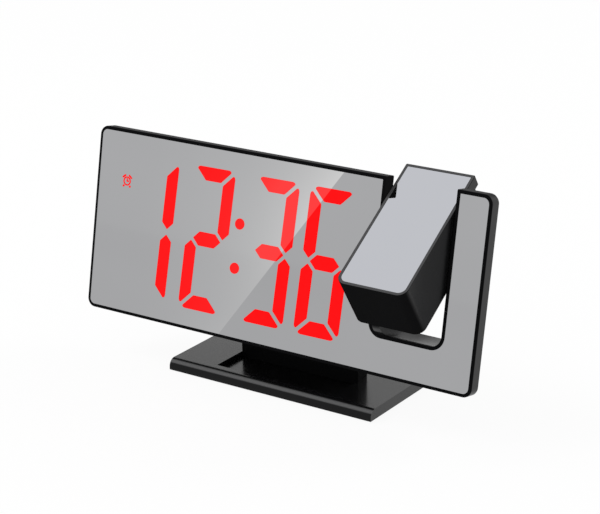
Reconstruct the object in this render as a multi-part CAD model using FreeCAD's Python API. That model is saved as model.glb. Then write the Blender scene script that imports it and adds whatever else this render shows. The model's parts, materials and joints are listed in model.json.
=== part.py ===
import FreeCAD, Part
import math
import os

from FreeCAD import Placement, Rotation, Vector

# Projection alarm clock: a slim mirror-faced display leaning back on a low
# stand, with a projector block that swings in a notch at its upper right.
#
# Row frame: X to the right seen from the front, Y to the back, Z up. The
# origin is the middle of the stand's footprint, on the surface it rests on.
# Clock frame: X as above, Y the depth behind the display's front, Z up along
# the display, origin at the middle of the display's lower front edge.
# All lengths are in millimetres and all angles in degrees.

# Display panel
panel_width = 198.0
panel_height = 82.0
panel_depth = 6.0
panel_corner_r = 4.0
rim_width = 1.4
rim_round = 0.6
display_lean = 11.5
panel_front_y = -29.5
panel_bottom_z = 21.4

# Mirror sheet
mirror_thickness = 1.5
mirror_recess = 0.1
mirror_gap = 0.1
mirror_corner_r = 2.6

# Notch for the projector
notch_inset = 16.0
notch_width = 33.0
notch_right = panel_width / 2 - notch_inset
notch_left = notch_right - notch_width
notch_floor = 17.4
notch_corner_r = 4.8

# Projector block, given as it lies when folded flush with the display
swing_gap = 0.4
block_depth = 25.0
block_corner_r = 4.3
block_plate_depth = 5.0
block_top_step = 2.7
block_wall = 1.6
block_plate_wall = 2.4
block_rim = 1.3
block_edge_round = 0.8
block_mirror_thickness = 1.2
swing_axis_drop = 14.3
swing_axis_height = panel_height - swing_axis_drop
swing_axis_depth = 12.5
swing_open = 46.0

# Rear housing
rear_left_inset = 6.0
rear_right_inset = 10.6
rear_top_inset = 6.0
rear_left = rear_left_inset - panel_width / 2
rear_right = panel_width / 2 - rear_right_inset
rear_bottom = 4.0
rear_top = panel_height - rear_top_inset
rear_depth = 21.0
rear_wall = 1.8
rear_corner_r = 8.0
rear_edge_round = 3.0

# Display window and its module
window_left_inset = 12.0
window_notch_wall = 10.0
window_top_inset = 8.0
window_left = window_left_inset - panel_width / 2
window_right = notch_left - window_notch_wall
window_bottom = 6.4
window_top = panel_height - window_top_inset
window_corner_r = 1.0
tray_front = 3.5
boss_sink = 0.5
module_gap = 0.3
mask_thickness = 0.5
lens_sheet = 0.6
reflector_depth = 5.4
board_thickness = 1.6
board_corner_r = 1.0
board_overhang = 4.0
board_right = window_right + board_overhang

# Digits: their centres and width as shares of the window's width
digit_shares = {"hour_tens": 0.16693, "hour_units": 0.40315, "minute_tens": 0.6622, "minute_units": 0.88189}
digit_width_share = 0.17638
colon_share = 0.53071
digit_margin = 2.0
digit_rise = 0.4
bar_width = 6.0
bar_gap = 1.7
bar_tip_cut = 0.7
bar_tip_run = 1.2
colon_spread = 19.5
colon_dot_r = 2.45
alarm_dot_share = 0.5464
alarm_dot_drop = 14.7
alarm_dot_r = 2.6
alarm_lens_rim = 0.6
segment_clear = 0.1
cavity_flare = 0.5
led_size = (2.0, 0.8, 1.2)

# Swing bearings
left_journal_r = 4.0
left_wire_r = 2.0
right_journal_r = 3.0
journal_clear = 0.06
bush_wall = 1.5
left_bush_length = 3.6
right_bush_length = 4.0
bearing_boss_wall = 2.0
journal_flange_r = 6.2
journal_flange = 1.2
clip_thickness = 0.7
clip_groove = 0.5
clip_r = 6.2
journal_tail = 1.0
fit_gap = 0.05
washer_thickness = 0.3

# Optics, their levels given as drops below the display's top
optic_depth = 15.2
barrel_r = 6.5
barrel_wall = 1.3
barrel_foot_drop = 16.0
barrel_top_drop = 1.5
barrel_lip = 0.6
barrel_ledge = 1.4
barrel_clear = 0.08
guide_wall = 1.5
guide_drop = 20.0
lamp_tube_width = 19.0
lamp_tube_depth = 16.0
lamp_tube_drop = 40.4
condenser_drop = 33.0
condenser_height = 3.5
condenser_edge = 1.2
time_film_drop = 23.0
time_film_thickness = 1.2
lens_edge = 1.6
lens_bulge = 1.2
lens_drop = 0.6
ring_r = 8.6
ring_height = 2.2
ring_gap = 0.15
ring_grips = 24
ring_grip_r = 0.45
lamp_led_r = 2.4
lamp_led_base = 1.6
lamp_led_dome = 1.9

# Buttons on the back and the snooze bar on top
button_names = ("mode", "alarm", "up", "down", "projection")
button_first = 19.0
button_pitch = 14.0
button_drop = 14.0
button_r = 3.2
button_proud = 1.0
button_clear = 0.2
button_flange_r = 4.2
button_flange = 0.9
button_seat = 0.1
button_travel = 0.6
snooze_length = 48.0
snooze_front = 11.6
snooze_back = 17.4
snooze_proud = 1.2
snooze_flange = 1.1
snooze_lip = 0.7

# Main board
main_left_inset = 9.0
main_right = 14.0
main_top_drop = 4.0
main_height = 22.0
main_depth = 14.4
main_post_r = 2.2
main_post_inset = 3.0
main_post_middle = -39.0
switch_width = 4.5
switch_shoulder = 0.4
switch_gap = 0.1

# Back panel fittings
fitting_drop = 22.0
speaker_inset = 29.0
speaker_r = 11.0
speaker_depth = 4.6
speaker_ring_wall = 1.2
speaker_magnet = 1.6
grille_hole_r = 0.9
grille_rings = {0.0: 1, 3.2: 6, 6.4: 12}
cell_x = -20.0
cell_r = 10.0
cell_thickness = 3.2
cell_step = 0.6
cell_step_inset = 1.2
cell_edge_round = 0.5
door_r = 12.5
door_clear = 0.2
door_lug_reach = 1.3
door_lug_thickness = 1.0
door_lug_angle = 24.0
door_lugs = 3
door_turn = 60.0
coin_slot_length = 12.0
coin_slot_width = 1.8
coin_slot_depth = 0.8
coin_slot_r = 0.85
cup_wall = 1.2
contact_thickness = 0.4
contact_width = 5.0
contact_reach = 1.6
socket_inset = 12.0
socket_height = 24.0
socket_body = 8.0
socket_length = 8.6
socket_collar_r = 3.4
socket_bore_r = 1.8
socket_bore_depth = 7.5

# Screws
screw_r = 1.0
screw_head_r = 1.9
screw_head = 1.3
screw_head_round = 0.43
screw_sink = 1.6
screw_clear = 0.1
screw_tip_gap = 0.4
post_r = 1.9
corner_screw_side = 4.0
corner_screw_end = 8.0
corner_screw_inset = 2.0
floor_screw_drop = 7.8
leg_screw_inset = 2.7
leg_screw_drop = 27.7
screw_bite = 4.6
board_screw_length = 3.4
block_screw_side = 4.0
block_screw_rise = 6.2
block_screw_drop = 11.7
block_post_r = 2.2

# Stand
base_width = 105.0
base_depth = 60.0
base_height = 4.8
base_edge_round = 3.4
pad_proud = 0.6
pad_thickness = 1.6
pad_margin = 5.0
pad_corner_r = 3.0
pad_gap = 0.1
pocket_front = -24.0
pocket_depth = 2.3
pocket_corner_r = 0.4
neck_width = 61.2
neck_front = -5.5
neck_thickness = 7.0
neck_side_gap = 0.15
neck_tongue_step = 1.0
neck_screw_x = 20.0
neck_screw_y = -2.0
neck_screw_length = 8.0
neck_screw_head = 0.8

# Tilt hinge
hinge_y = -1.5
hinge_z = 27.6
knuckle_r = 4.0
knuckle_half = 21.0
ear_r = 4.2
washer_gap = 0.3
hinge_washer = 0.2
hinge_pin_r = 1.75
hinge_pin_clear = 0.05
hinge_pin_inset = 0.8
ear_drop_gap = 0.5

ACROSS = Vector(1, 0, 0)
BACK = Vector(0, 1, 0)
UP = Vector(0, 0, 1)

# Sizes that follow from the ones above
mirror_back = mirror_recess + mirror_thickness
mask_front = mirror_back + segment_clear
lens_front = mask_front + mask_thickness
reflector_front = lens_front + lens_sheet
led_board_front = reflector_front + reflector_depth
led_board_back = led_board_front + board_thickness
block_left = notch_left + swing_gap
block_right = notch_right - swing_gap
block_bottom = notch_floor + swing_gap
shell_top = panel_height - block_top_step
swing_radius = math.hypot(swing_axis_height - notch_floor, swing_axis_depth)
rear_inner = rear_depth - rear_wall
main_back = main_depth + board_thickness
base_top = pad_proud + base_height
pocket_floor = base_top - pocket_depth
optic_x = (notch_left + notch_right) / 2
barrel_bottom = panel_height - barrel_foot_drop
barrel_top = panel_height - barrel_top_drop
guide_bottom = panel_height - guide_drop
lamp_tube_bottom = panel_height - lamp_tube_drop
condenser_seat = panel_height - condenser_drop
time_film_seat = panel_height - time_film_drop
window_width = window_right - window_left
digit_centres = {name: window_left + share * window_width for name, share in digit_shares.items()}
digit_width = digit_width_share * window_width
digit_height = window_top - window_bottom - 2 * digit_margin
digit_mid_height = (window_bottom + window_top) / 2 + digit_rise
colon_x = window_left + colon_share * window_width
alarm_dot_space = digit_centres["hour_tens"] - digit_width / 2 - bar_gap / 2 - window_left
alarm_dot_x = window_left + alarm_dot_share * alarm_dot_space
alarm_dot_height = window_top - alarm_dot_drop
button_row = {name: rear_left + button_first + step * button_pitch
              for step, name in enumerate(button_names)}
button_height = rear_top - button_drop
main_left = rear_left + main_left_inset
main_top = rear_top - main_top_drop
main_bottom = main_top - main_height
main_post_height = main_bottom + main_post_inset
main_posts = [(main_left + main_post_inset, main_post_height), (main_post_middle, main_post_height),
              (main_right - main_post_inset, main_post_height)]
speaker_x = rear_left + speaker_inset
socket_x = window_right - socket_inset
speaker_height = main_bottom - fitting_drop
cell_height = main_bottom - fitting_drop
corner_screw_spots = [(x, z) for x in (rear_left + corner_screw_side, board_right - corner_screw_inset)
                      for z in (rear_bottom + corner_screw_end, rear_top - corner_screw_end)]
notch_screw_spots = [(optic_x, notch_floor - floor_screw_drop),
                     (rear_right - leg_screw_inset, swing_axis_height - leg_screw_drop)]
housing_screw_spots = corner_screw_spots + notch_screw_spots
block_screw_spots = [(x, z) for z in (block_bottom + block_screw_rise, swing_axis_height - block_screw_drop)
                     for x in (block_left + block_screw_side, block_right - block_screw_side)]
neck_screw_spots = [(-neck_screw_x, neck_screw_y), (neck_screw_x, neck_screw_y)]


def clock_place():
    """Placement of the leaning clock frame in the row frame."""
    return Placement(Vector(0, panel_front_y, panel_bottom_z), Rotation(ACROSS, -display_lean))


def swing_place():
    """Turns a piece of the folded projector block to its rest position, in the clock frame."""
    axis = Vector(0, swing_axis_depth, swing_axis_height)
    return Placement(Vector(), Rotation(ACROSS, -swing_open), axis)


def rounded_loop(corners):
    """Closed wire in the XZ plane from (x, z, radius) corners, each rounded by its radius."""
    count = len(corners)
    points = [Vector(x, 0, z) for x, z, _ in corners]
    edges = []
    starts, ends = [], []
    for i, (_, _, radius) in enumerate(corners):
        here = points[i]
        to_last = (points[i - 1] - here).normalize()
        to_next = (points[(i + 1) % count] - here).normalize()
        half_turn = to_last.getAngle(to_next) / 2
        run = radius / math.tan(half_turn) if radius > 0 else 0.0
        starts.append(here + to_last * run)
        ends.append(here + to_next * run)
        if radius > 0:
            centre = here + (to_last + to_next).normalize() * (radius / math.sin(half_turn))
            middle = centre + (here - centre).normalize() * radius
            edges.append(Part.Arc(starts[i], middle, ends[i]).toShape())
    for i in range(count):
        after = starts[(i + 1) % count]
        if ends[i].distanceToPoint(after) > 1e-6:
            edges.append(Part.makeLine(ends[i], after))
    return Part.Wire(Part.__sortEdges__(edges))


def slab(corners, front, back):
    """Prism of a rounded loop, from one depth to another."""
    face = Part.Face(rounded_loop(corners))
    face.translate(BACK * front)
    return face.extrude(BACK * (back - front))


def rectangle(left, right, bottom, top, radius=0.0):
    """Corners of a rectangle with one radius all round."""
    return [(left, bottom, radius), (right, bottom, radius), (right, top, radius), (left, top, radius)]


def block(left, right, front, back, bottom, top):
    """Box between two corners."""
    return Part.makeBox(right - left, back - front, top - bottom, Vector(left, front, bottom))


def rod(x, height, radius, front, back):
    """Round bar along the depth."""
    return Part.makeCylinder(radius, back - front, Vector(x, front, height), BACK)


def bar(radius, left, right, depth, height):
    """Round bar along X."""
    return Part.makeCylinder(radius, right - left, Vector(left, depth, height), ACROSS)


def post(radius, bottom, top, x=optic_x, depth=optic_depth):
    """Round bar along Z, on the optical axis unless told otherwise."""
    return Part.makeCylinder(radius, top - bottom, Vector(x, depth, bottom), UP)


def joined(shapes):
    """One solid from several that meet."""
    return shapes[0].fuse(shapes[1:]).removeSplitter() if len(shapes) > 1 else shapes[0]


def edges_on(shape, test):
    """Edges whose every vertex passes a test."""
    return [edge for edge in shape.Edges if all(test(vertex.Point) for vertex in edge.Vertexes)]


def near(value, target):
    """Whether two lengths agree to a hundredth of a millimetre."""
    return abs(value - target) < 0.01


def swing_void():
    """Space that the block sweeps: its profile turned about the swing axis."""
    radius = notch_corner_r
    low = swing_axis_height - swing_radius
    half = [(notch_left, low, radius), (notch_right, low, radius),
            (notch_right, swing_axis_height, 0), (notch_left, swing_axis_height, 0)]
    face = Part.Face(rounded_loop(half))
    face.translate(BACK * swing_axis_depth)
    axis = Vector(notch_left, swing_axis_depth, swing_axis_height)
    return face.revolve(axis, ACROSS, 360)


def panel_loop(inset, radius, notch_radius):
    """Display outline with its notch, drawn in from the edge by an inset."""
    side = panel_width / 2 - inset
    top = panel_height - inset
    floor = notch_floor - inset
    return [(-side, inset, radius), (side, inset, radius), (side, top, radius),
            (notch_right + inset, top, 0), (notch_right + inset, floor, notch_radius),
            (notch_left - inset, floor, notch_radius), (notch_left - inset, top, 0), (-side, top, radius)]


# Display panel pieces

def front_frame():
    """Slim tray that holds the mirror, with the display window and the screw pads behind."""
    side = panel_width / 2
    body = slab(rectangle(-side, side, 0, panel_height, panel_corner_r), 0, panel_depth)
    body = body.makeFillet(rim_round, edges_on(body, lambda p: near(p.y, 0)))
    body = body.makeFillet(rim_round, edges_on(body, lambda p: near(p.y, panel_depth)))
    body = body.cut(swing_void())
    pocket = slab(panel_loop(rim_width, mirror_corner_r, notch_corner_r + rim_width), 0, mirror_back)
    tray = slab(panel_loop(rim_width * 2, mirror_corner_r, notch_corner_r + rim_width * 2), 0, tray_front)
    window = slab(rectangle(window_left, window_right, window_bottom, window_top, window_corner_r),
                  0, panel_depth)
    body = body.cut([pocket, tray, window])
    pads = [rod(x, z, post_r, tray_front, led_board_front) for x, z in corner_screw_spots]
    bosses = [rod(x, z, post_r, tray_front - boss_sink, panel_depth) for x, z in notch_screw_spots]
    body = joined([body] + pads + bosses)
    holes = [rod(x, z, screw_r + fit_gap, screw_bite, rear_depth) for x, z in housing_screw_spots]
    return body.cut(holes)


def mirror_panel():
    """Half-silvered front sheet, one piece round the notch."""
    inset = rim_width + mirror_gap
    loop = panel_loop(inset, mirror_corner_r - mirror_gap, notch_corner_r + inset)
    return slab(loop, mirror_recess, mirror_back)


def bar_shapes(centre_x):
    """Corner lists of the seven bars of one digit."""
    wide = digit_width / 2
    tall = digit_height / 2
    inner = wide - bar_width
    step = bar_gap / math.sqrt(2)
    tip = bar_tip_cut
    run = bar_tip_cut + bar_tip_run
    half_bar = bar_width / 2
    flat = [(-inner + step, tall - bar_width), (inner - step, tall - bar_width),
            (wide - step - tip, tall - tip), (wide - step - run, tall),
            (-wide + step + run, tall), (-wide + step + tip, tall - tip)]
    upright = [(inner, half_bar + step), (wide - half_bar, step), (wide, half_bar + step),
               (wide, tall - step - run), (wide - tip, tall - step - tip), (inner, tall - bar_width - step)]
    middle_tip = wide - half_bar - step
    middle = [(-middle_tip, 0), (-inner + step, -half_bar), (inner - step, -half_bar),
              (middle_tip, 0), (inner - step, half_bar), (-inner + step, half_bar)]
    shapes = [flat, upright, [(-x, z) for x, z in upright], [(x, -z) for x, z in upright],
              [(-x, -z) for x, z in upright], [(x, -z) for x, z in flat], middle]
    return [[(centre_x + x, digit_mid_height + z, 0) for x, z in shape] for shape in shapes]


def grown(corners, amount):
    """Corner list spread about its own middle by an amount each way."""
    mid_x = sum(corner[0] for corner in corners) / len(corners)
    mid_z = sum(corner[1] for corner in corners) / len(corners)
    half_x = max(abs(corner[0] - mid_x) for corner in corners)
    half_z = max(abs(corner[1] - mid_z) for corner in corners)
    wide = 1 + amount / half_x
    tall = 1 + amount / half_z
    return [(mid_x + (x - mid_x) * wide, mid_z + (z - mid_z) * tall, radius) for x, z, radius in corners]


def colon_spots():
    """Centres of the two colon dots."""
    return [(colon_x, digit_mid_height + side * colon_spread / 2) for side in (-1, 1)]


def segment_mask():
    """Black sheet behind the mirror, open at each bar, dot and indicator."""
    sheet = slab(rectangle(window_left + module_gap, window_right - module_gap, window_bottom + module_gap,
                           window_top - module_gap, window_corner_r), mask_front, lens_front)
    holes = []
    for centre_x in digit_centres.values():
        holes += [slab(grown(shape, segment_clear), mask_front, lens_front)
                  for shape in bar_shapes(centre_x)]
    dots = [rod(x, z, colon_dot_r + segment_clear, mask_front, lens_front) for x, z in colon_spots()]
    alarm = rod(alarm_dot_x, alarm_dot_height, alarm_dot_r + segment_clear, mask_front, lens_front)
    return sheet.cut(holes + dots + [alarm])


def digit_lens(centre_x):
    """Diffuser of one digit: a sheet with its seven bars raised into the mask."""
    half = digit_width / 2 + bar_gap / 2
    low = digit_mid_height - digit_height / 2 - bar_gap / 2
    high = digit_mid_height + digit_height / 2 + bar_gap / 2
    sheet = slab(rectangle(centre_x - half, centre_x + half, low, high), lens_front, reflector_front)
    return joined([sheet] + [slab(shape, mask_front, lens_front) for shape in bar_shapes(centre_x)])


def colon_lens():
    """Diffuser of the two colon dots."""
    spots = colon_spots()
    edge = colon_dot_r + bar_gap / 2
    sheet = slab(rectangle(colon_x - edge, colon_x + edge, spots[0][1] - edge, spots[1][1] + edge),
                 lens_front, reflector_front)
    return joined([sheet] + [rod(x, z, colon_dot_r, mask_front, lens_front) for x, z in spots])


def alarm_lens():
    """Small diffuser of the alarm indicator."""
    sheet = rod(alarm_dot_x, alarm_dot_height, alarm_dot_r + alarm_lens_rim, lens_front, reflector_front)
    return joined([sheet, rod(alarm_dot_x, alarm_dot_height, alarm_dot_r, mask_front, lens_front)])


def light_wells():
    """Flared wells of the reflector block, narrow at the board and wide at the lenses."""
    wells = []
    for centre_x in digit_centres.values():
        for shape in bar_shapes(centre_x):
            wide = rounded_loop(shape)
            wide.translate(BACK * reflector_front)
            narrow = rounded_loop(grown(shape, -cavity_flare))
            narrow.translate(BACK * led_board_front)
            wells.append(Part.makeLoft([wide, narrow], True, True))
    for x, z in colon_spots() + [(alarm_dot_x, alarm_dot_height)]:
        wells.append(Part.makeCone(colon_dot_r, colon_dot_r - cavity_flare, reflector_depth,
                                   Vector(x, reflector_front, z), BACK))
    return wells


def reflector_block():
    """White block whose wells carry the light of each diode to its bar."""
    body = slab(rectangle(window_left + module_gap, window_right - module_gap, window_bottom + module_gap,
                          window_top - module_gap, window_corner_r), reflector_front, led_board_front)
    return body.cut(light_wells())


def display_board():
    """Circuit board behind the reflector, held on the frame's four pads."""
    inset = rear_wall + module_gap
    board = slab(rear_loop(inset, board_right + inset), led_board_front, led_board_back)
    holes = [rod(x, z, screw_r + screw_clear, led_board_front, led_board_back)
             for x, z in corner_screw_spots]
    return board.cut(holes)


def display_leds():
    """One diode at the foot of every well."""
    width, depth, height = led_size
    spots = [(alarm_dot_x, alarm_dot_height)] + colon_spots()
    for centre_x in digit_centres.values():
        for shape in bar_shapes(centre_x):
            x = sum(corner[0] for corner in shape) / len(shape)
            z = sum(corner[1] for corner in shape) / len(shape)
            spots.append((x, z))
    chips = [block(x - width / 2, x + width / 2, led_board_front - depth, led_board_front,
                   z - height / 2, z + height / 2) for x, z in spots]
    return Part.makeCompound(chips)


# Rear housing pieces

def rear_loop(inset, right=rear_right):
    """Outline of the rear housing, drawn in by an inset."""
    radius = rear_corner_r - inset
    left = rear_left + inset
    low = rear_bottom + inset
    high = rear_top - inset
    return [(left, low, radius), (right - inset, low, radius / 2),
            (right - inset, high, radius / 2), (left, high, radius)]


def bayonet_cut(front, back):
    """Round hole with slots that let the battery door's lugs in."""
    hole = rod(cell_x, cell_height, door_r + door_clear, front, back)
    slots = [lug_sector(door_lug_reach + door_clear, front, back, door_turn + step * 360 / door_lugs)
             for step in range(door_lugs)]
    return joined([hole] + slots)


def lug_sector(reach, front, back, turn):
    """Wedge of a ring about the battery door's axis."""
    centre = Vector(cell_x, front, cell_height)
    wedge = Part.makeCylinder(door_r + reach, back - front, centre, BACK, door_lug_angle)
    wedge.rotate(centre, BACK, turn)
    return wedge


def hinge_ear(left, right):
    """Ear on the rear housing that carries one end of the tilt pin."""
    centre = clock_place().inverse().multVec(Vector(0, hinge_y, hinge_z))
    ring = bar(ear_r, left, right, centre.y, centre.z)
    web = block(left, right, rear_inner, centre.y, centre.z - ear_r, centre.z + ear_r)
    return joined([ring, web])


def hinge_ear_spans():
    """Left and right limits of the two ears along the pin."""
    inner = knuckle_half + washer_gap
    return [(-neck_width / 2, -inner), (inner, neck_width / 2)]


def rear_cover():
    """Rear shell: walls, swing cheeks, battery cup, speaker ring, posts and hinge ears."""
    outer = slab(rear_loop(0), panel_depth, rear_depth)
    outer = outer.makeFillet(rear_edge_round, edges_on(outer, lambda p: near(p.y, rear_depth)))
    cavity = slab(rear_loop(rear_wall, notch_right + rear_wall), panel_depth, rear_inner)
    cheek_left = notch_left - rear_wall
    cheek_floor = swing_axis_height - swing_radius - rear_wall
    cheeks = block(cheek_left, notch_right + rear_wall, panel_depth, rear_inner, cheek_floor, rear_top)
    shell = outer.cut(cavity.cut(cheeks)).cut(swing_void())
    boss_left = notch_left - left_bush_length
    boss_r = left_journal_r + bush_wall + bearing_boss_wall
    boss = bar(boss_r, boss_left, notch_left, swing_axis_depth, swing_axis_height)
    room = block(boss_left, notch_left, panel_depth, rear_inner, swing_axis_height - boss_r, rear_top)
    posts = [boss.common(room)]
    posts += [rod(x, z, post_r, led_board_back, rear_inner) for x, z in corner_screw_spots]
    posts += [rod(x, z, post_r, panel_depth, rear_inner) for x, z in notch_screw_spots[:1]]
    posts += [rod(x, z, main_post_r, main_back, rear_inner) for x, z in main_posts]
    cup_r = door_r + door_lug_reach + door_clear + cup_wall
    cup_floor = cell_floor() - cup_wall
    posts.append(rod(cell_x, cell_height, cup_r, cup_floor, rear_inner))
    speaker_ring_r = speaker_r + fit_gap + speaker_ring_wall
    posts.append(rod(speaker_x, speaker_height, speaker_ring_r, rear_inner - speaker_depth, rear_inner))
    posts += [hinge_ear(left, right) for left, right in hinge_ear_spans()]
    shell = joined([shell] + posts)
    return shell.cut(rear_cuts(cup_r))


def cell_floor():
    """Depth of the battery cup's floor."""
    return rear_inner - door_lug_thickness - button_seat * 2 - cell_thickness - contact_thickness


def rear_cuts(cup_r):
    """Everything cut out of the rear shell after its posts are on."""
    cuts = [bayonet_cut(rear_inner, rear_depth)]
    cuts.append(rod(cell_x, cell_height, cup_r - cup_wall, cell_floor(), rear_inner))
    cuts.append(rod(speaker_x, speaker_height, speaker_r + fit_gap, panel_depth, rear_inner))
    for ring_r, count in grille_rings.items():
        for step in range(count):
            angle = 2 * math.pi * step / count
            cuts.append(rod(speaker_x + ring_r * math.cos(angle), speaker_height + ring_r * math.sin(angle),
                            grille_hole_r, rear_inner, rear_depth))
    for x in button_row.values():
        cuts.append(rod(x, button_height, button_r + button_clear, rear_inner, rear_depth))
    half = snooze_length / 2 + button_clear
    cuts.append(block(-half, half, snooze_front - button_clear, snooze_back + button_clear,
                      rear_top - rear_wall, rear_top + snooze_proud))
    cuts.append(rod(socket_x, socket_height, socket_collar_r + fit_gap, rear_inner, rear_depth))
    cuts.append(bar(left_journal_r + journal_clear + bush_wall, notch_left - left_bush_length,
                    notch_left, swing_axis_depth, swing_axis_height))
    cuts.append(bar(right_journal_r + journal_clear + bush_wall, notch_right,
                    notch_right + right_bush_length, swing_axis_depth, swing_axis_height))
    for x, z in housing_screw_spots:
        cuts.append(rod(x, z, screw_r + screw_clear, panel_depth, rear_depth))
        cuts.append(rod(x, z, screw_head_r + screw_clear, rear_depth - screw_sink, rear_depth))
    cuts += [rod(x, z, screw_r + fit_gap, main_back, main_back + board_screw_length) for x, z in main_posts]
    pin = clock_place().inverse().multVec(Vector(0, hinge_y, hinge_z))
    reach = neck_width / 2 - hinge_pin_inset
    cuts.append(bar(hinge_pin_r, -reach, reach, pin.y, pin.z))
    return cuts


def rear_button(x):
    """Round push button with the flange that keeps it in the rear wall."""
    flange_top = rear_inner - button_seat
    cap = rod(x, button_height, button_r, flange_top - button_flange, rear_depth + button_proud)
    rim = edges_on(cap, lambda p: near(p.y, rear_depth + button_proud))
    cap = cap.makeFillet(button_proud / 2, rim)
    return joined([cap, rod(x, button_height, button_flange_r, flange_top - button_flange, flange_top)])


def snooze_bar():
    """Long press bar in the top of the rear housing, with its retaining flange."""
    half = snooze_length / 2
    low = rear_top - rear_wall - button_seat - snooze_flange
    cap = block(-half, half, snooze_front, snooze_back, low, rear_top + snooze_proud)
    rim = edges_on(cap, lambda p: near(p.z, rear_top + snooze_proud))
    cap = cap.makeFillet(snooze_proud / 2, rim)
    flange = block(-half - snooze_lip, half + snooze_lip, snooze_front - snooze_lip,
                   snooze_back + snooze_lip, low, low + snooze_flange)
    return joined([cap, flange])


def main_board():
    """Control board under the buttons, screwed to the rear shell's posts."""
    outline = rectangle(main_left, main_right, main_bottom, main_top, board_corner_r)
    board = slab(outline, main_depth, main_back)
    return board.cut([rod(x, z, screw_r + screw_clear, main_depth, main_back) for x, z in main_posts])


def press_switches():
    """Five switches under the rear buttons and one under the snooze bar."""
    flange_low = rear_inner - button_seat - button_flange
    plunger_top = flange_low - button_travel - switch_gap
    half = switch_width / 2
    switches = []
    for x in button_row.values():
        body = block(x - half, x + half, main_back, plunger_top - switch_shoulder,
                     button_height - half, button_height + half)
        switches.append(joined([body, rod(x, button_height, half / 2, main_back, plunger_top)]))
    bar_low = rear_top - rear_wall - button_seat - snooze_flange
    stem_top = bar_low - button_travel - switch_gap
    side = block(-half, half, main_back, rear_inner - switch_shoulder,
                 main_top - switch_width, stem_top - switch_shoulder)
    stem = post(half / 2, main_top - switch_width, stem_top, 0, main_back + half / 2)
    switches.append(joined([side, stem]))
    return Part.makeCompound(switches)


def speaker():
    """Round buzzer in its ring behind the grille."""
    cone = rod(speaker_x, speaker_height, speaker_r, rear_inner - speaker_depth, rear_inner - button_seat)
    magnet = rod(speaker_x, speaker_height, speaker_r / 2, rear_inner - speaker_depth - speaker_magnet,
                 rear_inner - speaker_depth)
    return joined([cone, magnet])


def battery_door():
    """Coin-slotted door whose three lugs lock under the rear wall."""
    plate = rod(cell_x, cell_height, door_r, rear_inner, rear_depth)
    under = rear_inner - button_seat
    neck = rod(cell_x, cell_height, door_r, under - door_lug_thickness, rear_inner)
    lugs = [lug_sector(door_lug_reach, under - door_lug_thickness, under, step * 360 / door_lugs)
            for step in range(door_lugs)]
    half_x = coin_slot_length / 2
    half_z = coin_slot_width / 2
    outline = rectangle(cell_x - half_x, cell_x + half_x, cell_height - half_z, cell_height + half_z,
                        coin_slot_r)
    slot = slab(outline, rear_depth - coin_slot_depth, rear_depth)
    return joined([plate, neck] + lugs).cut(slot)


def coin_cell():
    """Back-up cell, its larger can facing the door."""
    floor = cell_floor() + contact_thickness
    can = rod(cell_x, cell_height, cell_r, floor + cell_step, floor + cell_thickness)
    can = can.makeFillet(cell_edge_round, edges_on(can, lambda p: near(p.y, floor + cell_thickness)))
    return joined([can, rod(cell_x, cell_height, cell_r - cell_step_inset, floor, floor + cell_step)])


def cell_contact():
    """Flat spring strip under the cell, turned up beside it."""
    floor = cell_floor()
    half = contact_width / 2
    reach = cell_r + contact_reach
    strip = block(cell_x - reach, cell_x + cell_r / 2, floor, floor + contact_thickness,
                  cell_height - half, cell_height + half)
    upright = block(cell_x - reach, cell_x - reach + contact_thickness, floor, floor + cell_thickness,
                    cell_height - half, cell_height + half)
    return joined([strip, upright])


def power_socket():
    """Round low-voltage socket in the rear wall."""
    half = socket_body / 2
    body = block(socket_x - half, socket_x + half, rear_inner - socket_length, rear_inner,
                 socket_height - half, socket_height + half)
    collar = rod(socket_x, socket_height, socket_collar_r, rear_inner, rear_depth)
    bore = rod(socket_x, socket_height, socket_bore_r, rear_depth - socket_bore_depth, rear_depth)
    return joined([body, collar]).cut(bore)


def screw(x, z, head_back, length):
    """Pan-head screw along the depth, its head at the back."""
    head = rod(x, z, screw_head_r, head_back - screw_head, head_back)
    head = head.makeFillet(screw_head_round, edges_on(head, lambda p: near(p.y, head_back)))
    return joined([head, rod(x, z, screw_r, head_back - screw_head - length, head_back - screw_head)])


def housing_screws():
    """Six long screws that close the rear shell onto the front frame."""
    head_back = rear_depth - screw_sink + screw_head
    length = rear_depth - screw_sink - screw_bite - screw_tip_gap
    return Part.makeCompound([screw(x, z, head_back, length) for x, z in housing_screw_spots])


def board_screws():
    """Three short screws that hold the main board, heads to the front."""
    screws = []
    for x, z in main_posts:
        head = rod(x, z, screw_head_r, main_depth - screw_head, main_depth)
        shank = rod(x, z, screw_r, main_depth, main_back + board_screw_length - screw_tip_gap)
        screws.append(joined([head, shank]))
    return Part.makeCompound(screws)


def pivot_bush(inner, outer, left, right):
    """Plain bearing bush on the swing axis."""
    ring = bar(outer, left, right, swing_axis_depth, swing_axis_height)
    return ring.cut(bar(inner, left, right, swing_axis_depth, swing_axis_height))


def left_bush():
    """Bush in the housing's cheek."""
    inner = left_journal_r + journal_clear
    return pivot_bush(inner, inner + bush_wall, notch_left - left_bush_length, notch_left)


def right_bush():
    """Bush in the housing's outer leg."""
    inner = right_journal_r + journal_clear
    return pivot_bush(inner, inner + bush_wall, notch_right, notch_right + right_bush_length)


# Projector block pieces, drawn folded flush with the display

def block_loop(inset, top, top_radius):
    """Outline of the block with its rounded lower corners."""
    low_r = block_corner_r - inset
    left, right = block_left + inset, block_right - inset
    low, high = block_bottom + inset, top - inset
    return [(left, low, low_r), (right, low, low_r), (right, high, top_radius), (left, high, top_radius)]


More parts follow.
